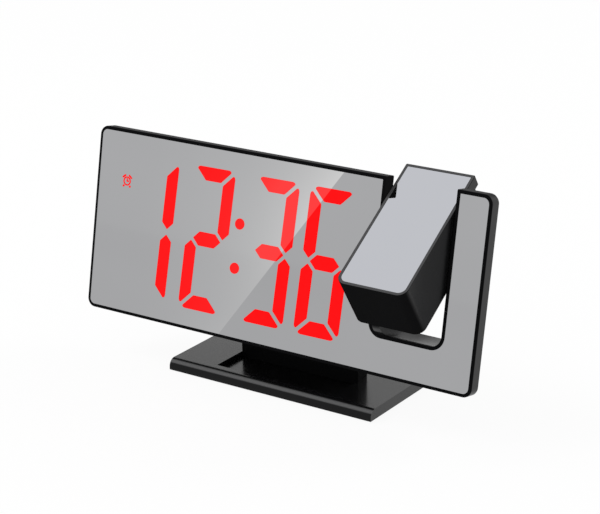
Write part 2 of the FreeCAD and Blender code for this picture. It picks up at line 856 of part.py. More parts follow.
def projector_frame():
    """Front plate of the block, recessed for its mirror and hollow behind."""
    plate = slab(block_loop(0, panel_height, rim_round), 0, block_plate_depth)
    plate = plate.makeFillet(rim_round / 2, edges_on(plate, lambda p: near(p.y, 0)))
    mirror_seat = block_mirror_thickness + mirror_recess
    pocket = slab(block_loop(block_rim, panel_height, rim_round / 2), 0, mirror_seat)
    floor = mirror_seat + block_wall
    hollow = slab(block_loop(block_plate_wall, shell_top, rim_round), floor, block_plate_depth)
    plate = plate.cut([pocket, hollow])
    posts = [rod(x, z, block_post_r, floor - block_wall / 2, block_plate_depth) for x, z in block_screw_spots]
    holes = [rod(x, z, screw_r + fit_gap, floor, block_plate_depth) for x, z in block_screw_spots]
    return joined([plate] + posts).cut(holes)


def projector_mirror():
    """Mirror sheet of the block."""
    loop = block_loop(block_rim + mirror_gap, panel_height, rim_round / 2)
    return slab(loop, mirror_recess, mirror_recess + block_mirror_thickness)


def projector_shell():
    """Deep body of the block, open to the front plate, with journal and lens holes."""
    body = slab(block_loop(0, shell_top, rim_round), block_plate_depth, block_depth)
    body = body.makeFillet(block_edge_round, edges_on(body, lambda p: near(p.y, block_depth)))
    hollow = slab(block_loop(block_wall, shell_top, rim_round), block_plate_depth, block_depth - block_wall)
    body = body.cut(hollow)
    posts = [rod(x, z, block_post_r, block_plate_depth, block_depth - block_wall / 2)
             for x, z in block_screw_spots]
    body = joined([body] + posts)
    cuts = [bar(left_journal_r + fit_gap, block_left, block_left + block_wall,
                swing_axis_depth, swing_axis_height)]
    cuts.append(bar(right_journal_r + fit_gap, block_right - block_wall, block_right,
                    swing_axis_depth, swing_axis_height))
    cuts.append(post(barrel_r + barrel_clear + fit_gap, shell_top - block_wall, shell_top))
    for x, z in block_screw_spots:
        cuts.append(rod(x, z, screw_r + screw_clear, block_plate_depth, block_depth))
        cuts.append(rod(x, z, screw_head_r + screw_clear, block_depth - screw_sink, block_depth))
    return body.cut(cuts)


def projector_screws():
    """Four screws from the back of the block into its front plate."""
    head_back = block_depth - screw_sink + screw_head
    tip = block_mirror_thickness + mirror_recess + block_wall + screw_tip_gap
    length = head_back - screw_head - tip
    return Part.makeCompound([screw(x, z, head_back, length) for x, z in block_screw_spots])


def left_journal():
    """Hollow journal for the leads, flanged inside the block and grooved for its clip."""
    left_end = notch_left - left_bush_length - clip_thickness - button_seat - journal_tail
    inside = block_left + block_wall
    tube = bar(left_journal_r, left_end, inside, swing_axis_depth, swing_axis_height)
    flange = bar(journal_flange_r, inside, inside + journal_flange, swing_axis_depth, swing_axis_height)
    groove_left = left_end + journal_tail
    groove_right = groove_left + clip_thickness
    outer = bar(journal_flange_r, groove_left, groove_right, swing_axis_depth, swing_axis_height)
    core = bar(left_journal_r - clip_groove, groove_left, groove_right, swing_axis_depth, swing_axis_height)
    bore = bar(left_wire_r, left_end, inside + journal_flange, swing_axis_depth, swing_axis_height)
    return joined([tube, flange]).cut([outer.cut(core), bore])


def right_journal():
    """Solid journal, flanged inside the block."""
    inside = block_right - block_wall
    end = notch_right + right_bush_length - fit_gap
    pin = bar(right_journal_r, inside, end, swing_axis_depth, swing_axis_height)
    flange = bar(journal_flange_r, inside - journal_flange, inside, swing_axis_depth, swing_axis_height)
    return joined([pin, flange])


def journal_clip():
    """Open spring clip in the left journal's groove."""
    left = notch_left - left_bush_length - button_seat - clip_thickness
    right = left + clip_thickness
    ring = bar(clip_r, left, right, swing_axis_depth, swing_axis_height)
    hole = bar(left_journal_r - clip_groove + fit_gap, left, right, swing_axis_depth, swing_axis_height)
    mouth = block(left, right, swing_axis_depth - left_journal_r / 2, swing_axis_depth + left_journal_r / 2,
                  swing_axis_height - clip_r, swing_axis_height)
    return ring.cut([hole, mouth])


def swing_washer():
    """Friction washer between the cheek and the block."""
    left = notch_left + (swing_gap - washer_thickness) / 2
    ring = bar(journal_flange_r, left, left + washer_thickness, swing_axis_depth, swing_axis_height)
    return ring.cut(bar(left_journal_r + fit_gap, left, left + washer_thickness,
                        swing_axis_depth, swing_axis_height))


def optics_tube():
    """Lamp box below and lens guide above, bored for condenser, time film and barrel."""
    half_x = lamp_tube_width / 2
    half_y = lamp_tube_depth / 2
    box = block(optic_x - half_x, optic_x + half_x, optic_depth - half_y, optic_depth + half_y,
                lamp_tube_bottom, guide_bottom)
    guide_top = shell_top - block_wall
    guide = post(barrel_r + barrel_clear + guide_wall, guide_bottom, guide_top)
    bore = post(barrel_r + barrel_clear, guide_bottom, guide_top)
    lamp_bore = post(barrel_r - barrel_wall, lamp_tube_bottom, guide_bottom)
    seat = post(barrel_r + fit_gap, condenser_seat, condenser_seat + condenser_height)
    film = block(optic_x - barrel_r, optic_x + barrel_r, optic_depth - half_y, optic_depth + barrel_r,
                 time_film_seat, time_film_seat + time_film_thickness + fit_gap)
    return joined([box, guide]).cut([bore, lamp_bore, seat, film])


def dome(radius, edge, bulge, bottom):
    """Flat-backed lens: a disc with a spherical cap."""
    disc = post(radius, bottom, bottom + edge)
    ball_r = (radius ** 2 + bulge ** 2) / (2 * bulge)
    crown = bottom + edge + bulge
    ball = Part.makeSphere(ball_r, Vector(optic_x, optic_depth, crown - ball_r))
    return joined([disc, post(radius, bottom + edge, crown).common(ball)])


def condenser_lens():
    """Plano-convex lens that gathers the lamp's light."""
    return dome(barrel_r, condenser_edge, condenser_height - condenser_edge - fit_gap, condenser_seat)


def time_film():
    """Small liquid-crystal plate that shows the time to be thrown."""
    half = barrel_r - fit_gap
    return block(optic_x - half, optic_x + half, optic_depth - half, optic_depth + half,
                 time_film_seat, time_film_seat + time_film_thickness)


def lamp_board():
    """Board at the foot of the lamp box."""
    half_x = lamp_tube_width / 2
    half_y = lamp_tube_depth / 2
    return block(optic_x - half_x, optic_x + half_x, optic_depth - half_y, optic_depth + half_y,
                 lamp_tube_bottom - board_thickness, lamp_tube_bottom)


def lamp_led():
    """Domed red diode on the lamp board."""
    return dome(lamp_led_r, lamp_led_base, lamp_led_dome, lamp_tube_bottom)


def barrel_lens_seat():
    """Height of the objective lens's lower rim in the barrel."""
    return barrel_top - lens_edge - lens_bulge - lens_drop


def lens_barrel():
    """Sliding barrel with a shoulder for the objective lens."""
    tube = post(barrel_r, barrel_bottom, barrel_top)
    seat = barrel_lens_seat()
    narrow = post(barrel_r - barrel_wall - barrel_lip, barrel_bottom, seat)
    wide = post(barrel_r - barrel_wall, seat, barrel_top)
    lower = post(barrel_r - barrel_wall, barrel_bottom, seat - barrel_ledge)
    return tube.cut([narrow, wide, lower])


def objective_lens():
    """Domed lens at the top of the barrel."""
    return dome(barrel_r - barrel_wall - fit_gap, lens_edge, lens_bulge, barrel_lens_seat())


def focus_ring():
    """Gripped ring on the block's top end that drives the barrel up and down."""
    low = shell_top + ring_gap
    high = low + ring_height
    ring = post(ring_r, low, high)
    grips = []
    for step in range(ring_grips):
        angle = 2 * math.pi * step / ring_grips
        grips.append(post(ring_grip_r, low, high, optic_x + ring_r * math.cos(angle),
                          optic_depth + ring_r * math.sin(angle)))
    bore = post(barrel_r + barrel_clear, low, high)
    return ring.cut(grips + [bore])


# Stand pieces, drawn in the row frame

def base_plate():
    """Low foot with rounded front and back edges and the pocket in front of the neck."""
    half = base_width / 2
    body = block(-half, half, -base_depth / 2, base_depth / 2, pad_proud, base_top)
    long_edges = [edge for edge in edges_on(body, lambda p: near(p.z, base_top))
                  if near(edge.Vertexes[0].Point.y, edge.Vertexes[1].Point.y)]
    body = body.makeFillet(base_edge_round, long_edges)
    reach = neck_width / 2 + neck_side_gap
    neck_back = neck_front + neck_thickness + neck_side_gap
    pocket = block(-reach, reach, pocket_front, neck_back, pocket_floor, base_top)
    upright = [edge for edge in pocket.Edges
               if near(edge.Vertexes[0].Point.x, edge.Vertexes[1].Point.x)
               and near(edge.Vertexes[0].Point.y, edge.Vertexes[1].Point.y)]
    pocket = pocket.makeFillet(pocket_corner_r, upright)
    cuts = [pocket]
    cuts.append(pad_slab(pad_gap))
    for x, y in neck_screw_spots:
        cuts.append(post(screw_r + screw_clear, pad_proud, pocket_floor, x, y))
        cuts.append(post(screw_head_r + screw_clear, pad_proud, pad_thickness + neck_screw_head, x, y))
    return body.cut(cuts)


def neck():
    """Upright plate from the base's pocket to the tilt hinge's middle knuckle."""
    half = neck_width / 2
    back = neck_front + neck_thickness
    shoulder = hinge_z - ear_r - ear_drop_gap
    plate = block(-half, half, neck_front, back, pocket_floor, shoulder)
    corner = [edge for edge in plate.Edges if all(near(v.Point.z, shoulder) for v in edge.Vertexes)
              and near(edge.Vertexes[0].Point.x, edge.Vertexes[1].Point.x)]
    plate = plate.makeFillet(rear_edge_round, corner)
    tongue = block(-knuckle_half, knuckle_half, neck_front, back - neck_tongue_step, pocket_floor, hinge_z)
    knuckle = bar(knuckle_r, -knuckle_half, knuckle_half, hinge_y, hinge_z)
    body = joined([plate, tongue, knuckle])
    cuts = [bar(hinge_pin_r + hinge_pin_clear, -knuckle_half, knuckle_half, hinge_y, hinge_z)]
    for x, y in neck_screw_spots:
        cuts.append(post(screw_r + fit_gap, pocket_floor, pocket_floor + neck_screw_length, x, y))
    return body.cut(cuts)


def neck_screws():
    """Screws up through the base into the neck."""
    screws = []
    for x, y in neck_screw_spots:
        head = post(screw_head_r, pad_thickness, pad_thickness + neck_screw_head, x, y)
        tip = pocket_floor + neck_screw_length - screw_tip_gap
        shank = post(screw_r, pad_thickness + neck_screw_head, tip, x, y)
        screws.append(joined([head, shank]))
    return Part.makeCompound(screws)


def pad_slab(gap):
    """Block of the grip pad, or of its recess with a gap all round."""
    half_x = base_width / 2 - pad_margin + gap
    half_y = base_depth / 2 - pad_margin + gap
    body = block(-half_x, half_x, -half_y, half_y, 0, pad_thickness)
    upright = [edge for edge in body.Edges
               if near(edge.Vertexes[0].Point.x, edge.Vertexes[1].Point.x)
               and near(edge.Vertexes[0].Point.y, edge.Vertexes[1].Point.y)]
    return body.makeFillet(pad_corner_r + gap, upright)


def grip_pad():
    """Rubber sheet let into the base's underside."""
    return pad_slab(0)


def hinge_pin():
    """Steel pin through the ears and the knuckle."""
    reach = neck_width / 2 - hinge_pin_inset
    return bar(hinge_pin_r, -reach, reach, hinge_y, hinge_z)


def hinge_washers():
    """Friction washers between knuckle and ears."""
    washers = []
    for side in (-1, 1):
        middle = side * (knuckle_half + washer_gap / 2)
        left = middle - hinge_washer / 2
        ring = bar(knuckle_r, left, left + hinge_washer, hinge_y, hinge_z)
        hole = bar(hinge_pin_r + hinge_pin_clear, left, left + hinge_washer, hinge_y, hinge_z)
        washers.append(ring.cut(hole))
    return Part.makeCompound(washers)


def clock_pieces():
    """Pieces of the display and its housing, in the clock frame."""
    pieces = {"front_frame": front_frame(), "mirror_panel": mirror_panel(), "segment_mask": segment_mask(),
              "colon_lens": colon_lens(), "alarm_lens": alarm_lens(), "reflector_block": reflector_block(),
              "display_board": display_board(), "display_leds": display_leds(), "rear_cover": rear_cover(),
              "main_board": main_board(), "board_screws": board_screws(), "press_switches": press_switches(),
              "speaker": speaker(), "battery_door": battery_door(), "coin_cell": coin_cell(),
              "cell_contact": cell_contact(), "power_socket": power_socket(), "snooze_bar": snooze_bar(),
              "housing_screws": housing_screws(), "left_bush": left_bush(), "right_bush": right_bush()}
    for name, x in digit_centres.items():
        pieces[name + "_lens"] = digit_lens(x)
    for name, x in button_row.items():
        pieces[name + "_button"] = rear_button(x)
    return pieces


def projector_pieces():
    """Pieces of the projector block, folded, in the clock frame."""
    return {"projector_frame": projector_frame(), "projector_mirror": projector_mirror(),
            "projector_shell": projector_shell(), "projector_screws": projector_screws(),
            "left_journal": left_journal(), "right_journal": right_journal(), "journal_clip": journal_clip(),
            "swing_washer": swing_washer(), "optics_tube": optics_tube(), "condenser_lens": condenser_lens(),
            "time_film": time_film(), "lamp_board": lamp_board(), "lamp_led": lamp_led(),
            "lens_barrel": lens_barrel(), "objective_lens": objective_lens(), "focus_ring": focus_ring()}


def stand_pieces():
    """Pieces of the stand, in the row frame."""
    return {"base_plate": base_plate(), "neck": neck(), "neck_screws": neck_screws(),
            "grip_pad": grip_pad(), "hinge_pin": hinge_pin(), "hinge_washers": hinge_washers()}


def put(shape, place):
    """Shape moved by a placement, after its own."""
    shape.Placement = place.multiply(shape.Placement)
    return shape


def write_pieces():
    """Place every piece and write one STEP file for each."""
    os.makedirs("parts", exist_ok=True)
    placed = dict(stand_pieces())
    for name, shape in clock_pieces().items():
        placed[name] = put(shape, clock_place())
    for name, shape in projector_pieces().items():
        placed[name] = put(shape, clock_place().multiply(swing_place()))
    for name, shape in placed.items():
        shape.exportStep(os.path.join("parts", name + ".step"))
        print(name, len(shape.Solids), round(shape.Volume, 1), shape.isValid())


write_pieces()
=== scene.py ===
"""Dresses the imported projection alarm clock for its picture.

Lengths are written in millimetres in the clock's own frame, X to the right, Y into the depth behind
the display's front and Z up along the display, and are brought to metres in the row frame last.
"""

from __future__ import annotations

import json
import logging
import math
from dataclasses import dataclass
from enum import Enum
from typing import Callable, ClassVar, Iterable, Sequence

import bmesh
import bpy
from mathutils import Matrix, Vector

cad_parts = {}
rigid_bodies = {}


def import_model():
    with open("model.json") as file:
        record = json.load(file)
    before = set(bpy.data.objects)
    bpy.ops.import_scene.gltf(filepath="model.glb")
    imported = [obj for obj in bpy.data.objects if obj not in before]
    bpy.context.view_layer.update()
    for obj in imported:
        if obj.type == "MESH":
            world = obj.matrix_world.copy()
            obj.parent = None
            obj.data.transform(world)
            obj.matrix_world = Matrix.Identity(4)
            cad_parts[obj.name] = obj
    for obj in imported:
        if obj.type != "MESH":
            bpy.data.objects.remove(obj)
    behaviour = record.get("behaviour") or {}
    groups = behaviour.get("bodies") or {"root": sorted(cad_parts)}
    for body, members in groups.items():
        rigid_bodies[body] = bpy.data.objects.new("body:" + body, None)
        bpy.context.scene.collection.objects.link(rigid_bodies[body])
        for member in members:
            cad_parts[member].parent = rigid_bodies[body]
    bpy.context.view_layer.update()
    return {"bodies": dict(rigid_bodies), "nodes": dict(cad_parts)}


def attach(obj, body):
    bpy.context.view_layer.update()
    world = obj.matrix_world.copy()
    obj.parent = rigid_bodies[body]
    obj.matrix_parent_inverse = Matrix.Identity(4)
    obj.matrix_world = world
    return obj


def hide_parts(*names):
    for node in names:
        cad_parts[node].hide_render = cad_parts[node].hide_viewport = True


LOG = logging.getLogger("clock_scene")

MM = 0.001
DEPTH, HEIGHT = 1, 2
NEAR = 0.01
CUT_PAST = 1.0
CUT_DEPTH = 3.0
LEAN = math.radians(11.5)
SWING = math.radians(46.0)
PANEL_FOOT = Vector((0.0, -29.5, 21.4))
SWING_AXIS = Vector((0.0, 12.5, 67.7))
CLOCK = Matrix.Scale(MM, 4) @ Matrix.Translation(PANEL_FOOT) @ Matrix.Rotation(-LEAN, 4, "X")
BLOCK = (CLOCK @ Matrix.Translation(SWING_AXIS) @ Matrix.Rotation(-SWING, 4, "X")
         @ Matrix.Translation(-SWING_AXIS))

Piece = bpy.types.Object
Socket = bpy.types.NodeSocket
Point = tuple[float, float, float]
Colour = tuple[float, float, float]
Span = tuple[float, float]
Spot = tuple[float, float]
Spots = tuple[Spot, ...]
EdgeTest = Callable[["bmesh.types.BMEdge"], bool]


# Shaders


class Value:
    """A number socket of a shader that takes arithmetic."""

    def __init__(self, graph: ShaderGraph, socket: Socket) -> None:
        """Keep the graph and the socket."""
        self.graph = graph
        self.socket = socket

    def __add__(self, other: Value | float) -> Value:
        """Sum."""
        return self.graph.combine("ADD", self, other)

    def __sub__(self, other: Value | float) -> Value:
        """Difference."""
        return self.graph.combine("SUBTRACT", self, other)

    def __rsub__(self, other: float) -> Value:
        """Difference from a number."""
        return self.graph.combine("SUBTRACT", other, self)

    def __mul__(self, other: Value | float) -> Value:
        """Product."""
        return self.graph.combine("MULTIPLY", self, other)

    __radd__ = __add__
    __rmul__ = __mul__

    def clamp(self) -> Value:
        """Value held between 0 and 1."""
        node = self.graph.node("ShaderNodeClamp", {}, {"Value": self})
        return Value(self.graph, node.outputs[0])

    def ramp(self, low: float, high: float) -> Value:
        """Smooth step from 0 at low to 1 at high."""
        node = self.graph.node("ShaderNodeMapRange", {"interpolation_type": "SMOOTHSTEP"},
                               {"Value": self, "From Min": low, "From Max": high})
        return Value(self.graph, node.outputs[0])


class ShaderGraph:
    """A shader's node tree, written as expressions."""

    def __init__(self, tree: bpy.types.NodeTree) -> None:
        """Keep the tree."""
        self.tree = tree

    def node(self, kind: str, settings: dict[str, object],
             inputs: dict[str | int, object]) -> bpy.types.ShaderNode:
        """Add any node.

        Args:
            kind: The node's type.
            settings: Its own settings, set first.
            inputs: What each socket takes, a number, a colour, a Value or a socket.

        Returns:
            The node.
        """
        node = self.tree.nodes.new(kind)
        for key, setting in settings.items():
            setattr(node, key, setting)
        for key, given in inputs.items():
            self.feed(node.inputs[key], given)
        return node

    def feed(self, socket: Socket, given: object) -> None:
        """Link or set one socket.

        Args:
            socket: The socket.
            given: A number, a colour, a Value or another socket.
        """
        if isinstance(given, Value):
            given = given.socket
        if isinstance(given, Socket):
            self.tree.links.new(given, socket)
        elif isinstance(given, tuple) and len(given) == 3 and socket.type == "RGBA":
            socket.default_value = (*given, 1.0)
        else:
            socket.default_value = given

    def combine(self, operation: str, *operands: Value | float) -> Value:
        """Math node on operands in their order."""
        node = self.node("ShaderNodeMath", {"operation": operation}, dict(enumerate(operands)))
        return Value(self, node.outputs[0])

    def seen(self) -> Value:
        """Whether a ray shows what it meets, and doesn't only light it.

        Returns:
            1 for a ray seen directly, mirrored or through glass, and 0 for any other.
        """
        rays = self.node("ShaderNodeLightPath", {}, {})
        direct, mirrored, through = (Value(self, rays.outputs[name]) for name in
                                     ("Is Camera Ray", "Is Glossy Ray", "Is Transmission Ray"))
        return (direct + mirrored + through).clamp()


class MaterialGraph(ShaderGraph):
    """The node tree of one material."""

    def __init__(self, name: str) -> None:
        """Make a material with a bare Principled shader.

        Args:
            name: The material's name.
        """
        self.material = bpy.data.materials.new(name)
        self.material.use_nodes = True
        super().__init__(self.material.node_tree)
        self.shader = self.tree.nodes["Principled BSDF"]
        self.coords = self.node("ShaderNodeTexCoord", {}, {})

    def set(self, **inputs: object) -> None:
        """Feed the Principled shader, with underscores for the spaces in its sockets' names."""
        for key, given in inputs.items():
            self.feed(self.shader.inputs[key.replace("_", " ")], given)

    def noise(self, size: float, detail: float = 2.0, stretch: Point = (1.0, 1.0, 1.0)) -> Value:
        """Noise on Object coordinates.

        Args:
            size: Size of its features, in millimetres.
            detail: Octaves.
            stretch: Scale of the pattern along each axis.

        Returns:
            A value about a half.
        """
        place = self.node("ShaderNodeMapping", {},
                          {"Vector": self.coords.outputs["Object"], "Scale": stretch})
        noise = self.node("ShaderNodeTexNoise", {}, {"Vector": place.outputs[0], "Scale": 1 / (size * MM),
                                                     "Detail": detail})
        return Value(self, noise.outputs[0])

    def parts(self, output: str) -> tuple[Value, Value, Value]:
        """The three parts of a Texture Coordinate output."""
        split = self.node("ShaderNodeSeparateXYZ", {}, {0: self.coords.outputs[output]})
        return tuple(Value(self, socket) for socket in split.outputs)

    def place(self) -> tuple[Value, Value, Value]:
        """The point's place in the row frame, in metres."""
        return self.parts("Object")

    def normal(self) -> tuple[Value, Value, Value]:
        """The way the face looks in the row frame."""
        return self.parts("Normal")

    def across(self, span: Span) -> Value:
        """Smooth step over a span across the clock, in millimetres."""
        return self.place()[0].ramp(span[0] * MM, span[1] * MM)

    def panel_height(self) -> Value:
        """Height up the display, in metres, of a point in the row frame."""
        _, y, z = self.place()
        return (z - PANEL_FOOT.z * MM) * math.cos(LEAN) + (y - PANEL_FOOT.y * MM) * math.sin(LEAN)

    def mix(self, share: Value, first: object, second: object) -> Socket:
        """Colour between two colours, whose sockets are the Mix node's 6 and 7."""
        node = self.node("ShaderNodeMix", {"data_type": "RGBA"}, {0: share, 6: first, 7: second})
        return node.outputs[2]

    def bump(self, height: Value, depth: float) -> None:
        """Bump the surface by a height, its depth in millimetres."""
        node = self.node("ShaderNodeBump", {}, {"Strength": 1.0, "Distance": depth * MM, "Height": height})
        self.set(Normal=node.outputs[0])


@dataclass(frozen=True)
class Facing:
    """Faces that look to the front and up at a tilt, and the band over which they come to count."""

    tilt: float
    band: Span

    def share(self, graph: MaterialGraph) -> Value:
        """1 where a face looks this way and 0 where it looks elsewhere."""
        _, backward, up = graph.normal()
        return (backward * -math.cos(self.tilt) + up * math.sin(self.tilt)).ramp(*self.band)


FORWARD = Facing(0.0, (0.1, 0.5))
UPWARD = Facing(math.pi / 2, (0.55, 0.95))
DECK = Facing(math.pi / 2, (0.2, 0.6))
SIDEWAYS_BAND = (0.55, 0.95)
# Faces that look the way the projector block's front does, made lighter by painted light.
BLOCK_FACE = Facing(LEAN + SWING, (0.75, 0.97))
# Faces of a rounded front edge that get a painted highlight.
PAINTED_HIGHLIGHT_FACING = Facing(math.radians(50.0), (0.94, 0.995))


@dataclass(frozen=True)
class Coat:
    """Clear gloss over a finish, and the share of it that is left on some of its faces."""

    OUTER_SQUARES: ClassVar[Span] = ((90.0 * MM) ** 2, (95.0 * MM) ** 2)
    NOTCH_LEFT: ClassVar[Span] = (48.0, 49.0)
    NOTCH_FADE: ClassVar[Span] = (62.0, 74.0)
    WORN: ClassVar[float] = 0.12

    weight: float = 0.0
    roughness: float = 0.05
    in_front: float = 1.0
    on_top: float = 1.0
    within: float = 1.0
    # Share of the gloss left on the notch's deck, cut to paint the block's dark reflection there.
    in_notch: float = 1.0

    def over(self, graph: MaterialGraph, wear: Value) -> Value:
        """Its weight over the surface.

        Args:
            graph: The material's graph.
            wear: A pattern from 0 to 1 that weakens the gloss a little where it is low.

        Returns:
            The weight.
        """
        weight = (wear * self.WORN + (1.0 - self.WORN)) * self.weight
        for left, share in ((self.in_front, FORWARD.share), (self.on_top, UPWARD.share),
                            (self.within, self.inner_side), (self.in_notch, self.notch_painted_reflection)):
            if left < 1.0:
                weight = weight * (1.0 - share(graph) * (1.0 - left))
        return weight

    @staticmethod
    def inner_side(graph: MaterialGraph) -> Value:
        """Faces that look sideways within the clock's outline, such as the notch's walls."""
        right, x = graph.normal()[0], graph.place()[0]
        return (right * right - (x * x).ramp(*Coat.OUTER_SQUARES)).ramp(*SIDEWAYS_BAND)

    @staticmethod
    def notch_painted_reflection(graph: MaterialGraph) -> Value:
        """The deck in the notch, from its left wall and fading to the right, darkened as a painted
        reflection.
        """
        return graph.across(Coat.NOTCH_LEFT) * (1.0 - graph.across(Coat.NOTCH_FADE)) * DECK.share(graph)


@dataclass(frozen=True)
class PaintedGlare:
    """Painted glare over the display, a lighter band with one straight slanted edge, fading to its left."""

    edge_point: Spot = (30.2, 80.7)
    edge_way: Spot = (-0.8191, 0.5737)
    edge_blur: float = 0.4
    fade: float = 23.0
    weak_height: float = 8.0
    full_height: float = 70.0
    weak_share: float = 0.3
    figure_gain: float = 2.3
    left_figures: Span = (-17.0, -14.0)
    left_share: float = 0.42

    def over(self, graph: MaterialGraph) -> Value:
        """Strength of the painted glare over the display.

        Args:
            graph: The material's graph.

        Returns:
            A value from 0 to 1.
        """
        height = graph.panel_height()
        past = ((graph.place()[0] - self.edge_point[0] * MM) * self.edge_way[0]
                + (height - self.edge_point[1] * MM) * self.edge_way[1])
        edge = past.ramp(0.0, self.edge_blur * MM)
        faded = graph.combine("EXPONENT", past * (-1 / (self.fade * MM))).clamp()
        rise = height.ramp(self.weak_height * MM, self.full_height * MM)
        return edge * faded * (rise * (1.0 - self.weak_share) + self.weak_share)

    def on_figures(self, graph: MaterialGraph) -> Value:
        """Strength of the painted glare on the lit figures, weaker on those left of the colon.

        Args:
            graph: The material's graph.

        Returns:
            A value from 0 to 1.
        """
        side = graph.across(self.left_figures) * (1.0 - self.left_share) + self.left_share
        return (self.over(graph) * self.figure_gain).clamp() * side


# The painted glare over the display, and the grey that it lifts the mirror's colour towards.
PAINTED_GLARE = PaintedGlare()
PAINTED_GLARE_TONE = 0.62
# Paler red painted on the lit figures where the painted glare lies over them.
PAINTED_GLARE_RED = (1.0, 0.052, 0.052)
DEEP_LAMP = (1.0, 0.01, 0.008)
PALE_LAMP = (1.0, 0.05, 0.04)


class Pattern(Enum):
    """What a finish's surface is made like."""

    MOULDED = "moulded plastic"
    BRUSHED = "drawn or turned metal"
    MIRROR = "half-silvered sheet"
    LIT = "lit bars behind the mirror"
    BOARD = "circuit board"
    RIBBED = "ribbed rubber"
    CLEAR = "clear optical plastic"


@dataclass(frozen=True)
class Finish:
    """A surface finish and the shader that shows it."""

    name: str
    colour: Colour
    pattern: Pattern = Pattern.MOULDED
    roughness: float = 0.4
    metallic: float = 0.0
    specular: float = 0.5
    coat: Coat = Coat()
    # Lighter colour painted as light on faces that look the block's front way.
    painted_front_light: Colour | None = None
    # Lighter colour painted as a highlight on a rounded front edge.
    painted_edge_highlight: Colour | None = None
    grain: float = 0.35
    grain_depth: float = 0.004
    spread: float = 0.12
    # Share by which the painted glare lifts a mirror's colour towards its grey tone.
    painted_glare_share: float = 0.0
    glow: float = 0.0

    def material(self) -> bpy.types.Material:
        """Build the material.

        Returns:
            The material.
        """
        graph = MaterialGraph(self.name)
        graph.set(Specular_IOR_Level=self.specular, Coat_Roughness=self.coat.roughness,
                  Metallic=self.metallic)
        builders: dict[Pattern, Callable[[MaterialGraph], None]] = {
            Pattern.MOULDED: self.moulded, Pattern.BRUSHED: self.brushed, Pattern.MIRROR: self.mirror,
            Pattern.LIT: self.lit, Pattern.BOARD: self.board, Pattern.RIBBED: self.ribbed,
            Pattern.CLEAR: self.clear}
        builders[self.pattern](graph)
        return graph.material

    def toned(self, factor: float) -> Colour:
        """The colour made darker or lighter by a factor."""
        return tuple(min(1.0, part * factor) for part in self.colour)

    def shades(self, graph: MaterialGraph, share: Value) -> Socket:
        """The colour, a little darker and lighter by a share."""
        return graph.mix(share, self.toned(1 - self.spread), self.toned(1 + self.spread))

    def moulded(self, graph: MaterialGraph) -> None:
        """Fine moulded texture under a gloss, with painted light on faces that look some way.

        Args:
            graph: The material's graph.
        """
        cloud = graph.noise(size=38.0, detail=3.0)
        grain = graph.noise(size=self.grain, detail=3.0)
        colour = self.shades(graph, cloud)
        # Painted light: lighter block fronts, and a painted highlight on a rounded edge.
        for facing, tone in ((BLOCK_FACE, self.painted_front_light), (PAINTED_HIGHLIGHT_FACING, self.painted_edge_highlight)):
            if tone:
                colour = graph.mix(facing.share(graph), colour, tone)
        graph.set(Base_Color=colour, Roughness=self.roughness + (cloud - 0.5) * self.spread)
        if self.coat.weight:
            wear = (grain * cloud).ramp(low=0.05, high=0.45)
            graph.set(Coat_Weight=self.coat.over(graph, wear))
        graph.bump(grain, self.grain_depth)

    def brushed(self, graph: MaterialGraph) -> None:
        """Metal with drawn lines.

        Args:
            graph: The material's graph.
        """
        lines = graph.noise(size=0.5, detail=4.0, stretch=(0.06, 1.0, 1.0))
        cloud = graph.noise(size=6.0)
        graph.set(Base_Color=self.shades(graph, lines), Roughness=self.roughness + (cloud - 0.5) * 0.2)
        graph.bump(lines, self.grain_depth)

    def mirror(self, graph: MaterialGraph) -> None:
        """Silvered sheet with dust, an uneven tone and painted reflections: a slanted glare and a lighter
        top.

        Args:
            graph: The material's graph.
        """
        cloud = graph.noise(size=55.0)
        # Painted reflection: the mirror's colour is lighter towards the top of the display.
        rise = graph.panel_height().ramp(-20.0 * MM, 75.0 * MM)
        tone = self.shades(graph, (cloud * 0.5 + rise * 0.5).clamp())
        # Painted glare: a slanted lighter band over the display's mirror.
        if self.painted_glare_share:
            light = tuple(part + (PAINTED_GLARE_TONE - part) * self.painted_glare_share for part in self.colour)
            tone = graph.mix(PAINTED_GLARE.over(graph), tone, light)
        dust = graph.noise(size=1.2, detail=5.0).ramp(low=0.55, high=0.8)
        graph.set(Base_Color=tone, Roughness=self.roughness + dust * 0.03)

    def lit(self, graph: MaterialGraph) -> None:
        """Lit red bars, evenly bright with a faint grain of the diffuser, paler under the painted glare.

        Args:
            graph: The material's graph.
        """
        grain = graph.noise(size=1.6, detail=3.0)
        even = graph.mix(grain, self.colour, self.toned(1.5))
        # Painted glare: the figures turn paler red under it.
        glare_painted_figures = graph.mix(PAINTED_GLARE.on_figures(graph), even, PAINTED_GLARE_RED)
        graph.set(Base_Color=(0.02, 0.0, 0.0), Roughness=self.roughness + grain * 0.05,
                  Emission_Color=glare_painted_figures, Emission_Strength=self.glow)

    def board(self, graph: MaterialGraph) -> None:
        """Solder mask with paler tracks under it.

        Args:
            graph: The material's graph.
        """
        brick = graph.node("ShaderNodeTexBrick", {"offset": 0.37},
                           {"Vector": graph.coords.outputs["Object"], "Scale": 260.0, "Mortar Size": 0.03,
                            "Color1": self.colour, "Color2": self.toned(0.8), "Mortar": self.toned(1.9)})
        weave = graph.noise(size=0.8)
        graph.set(Base_Color=brick.outputs[0], Roughness=self.roughness + (weave - 0.5) * 0.1)
        graph.bump(Value(graph, brick.outputs[1]), self.grain_depth)

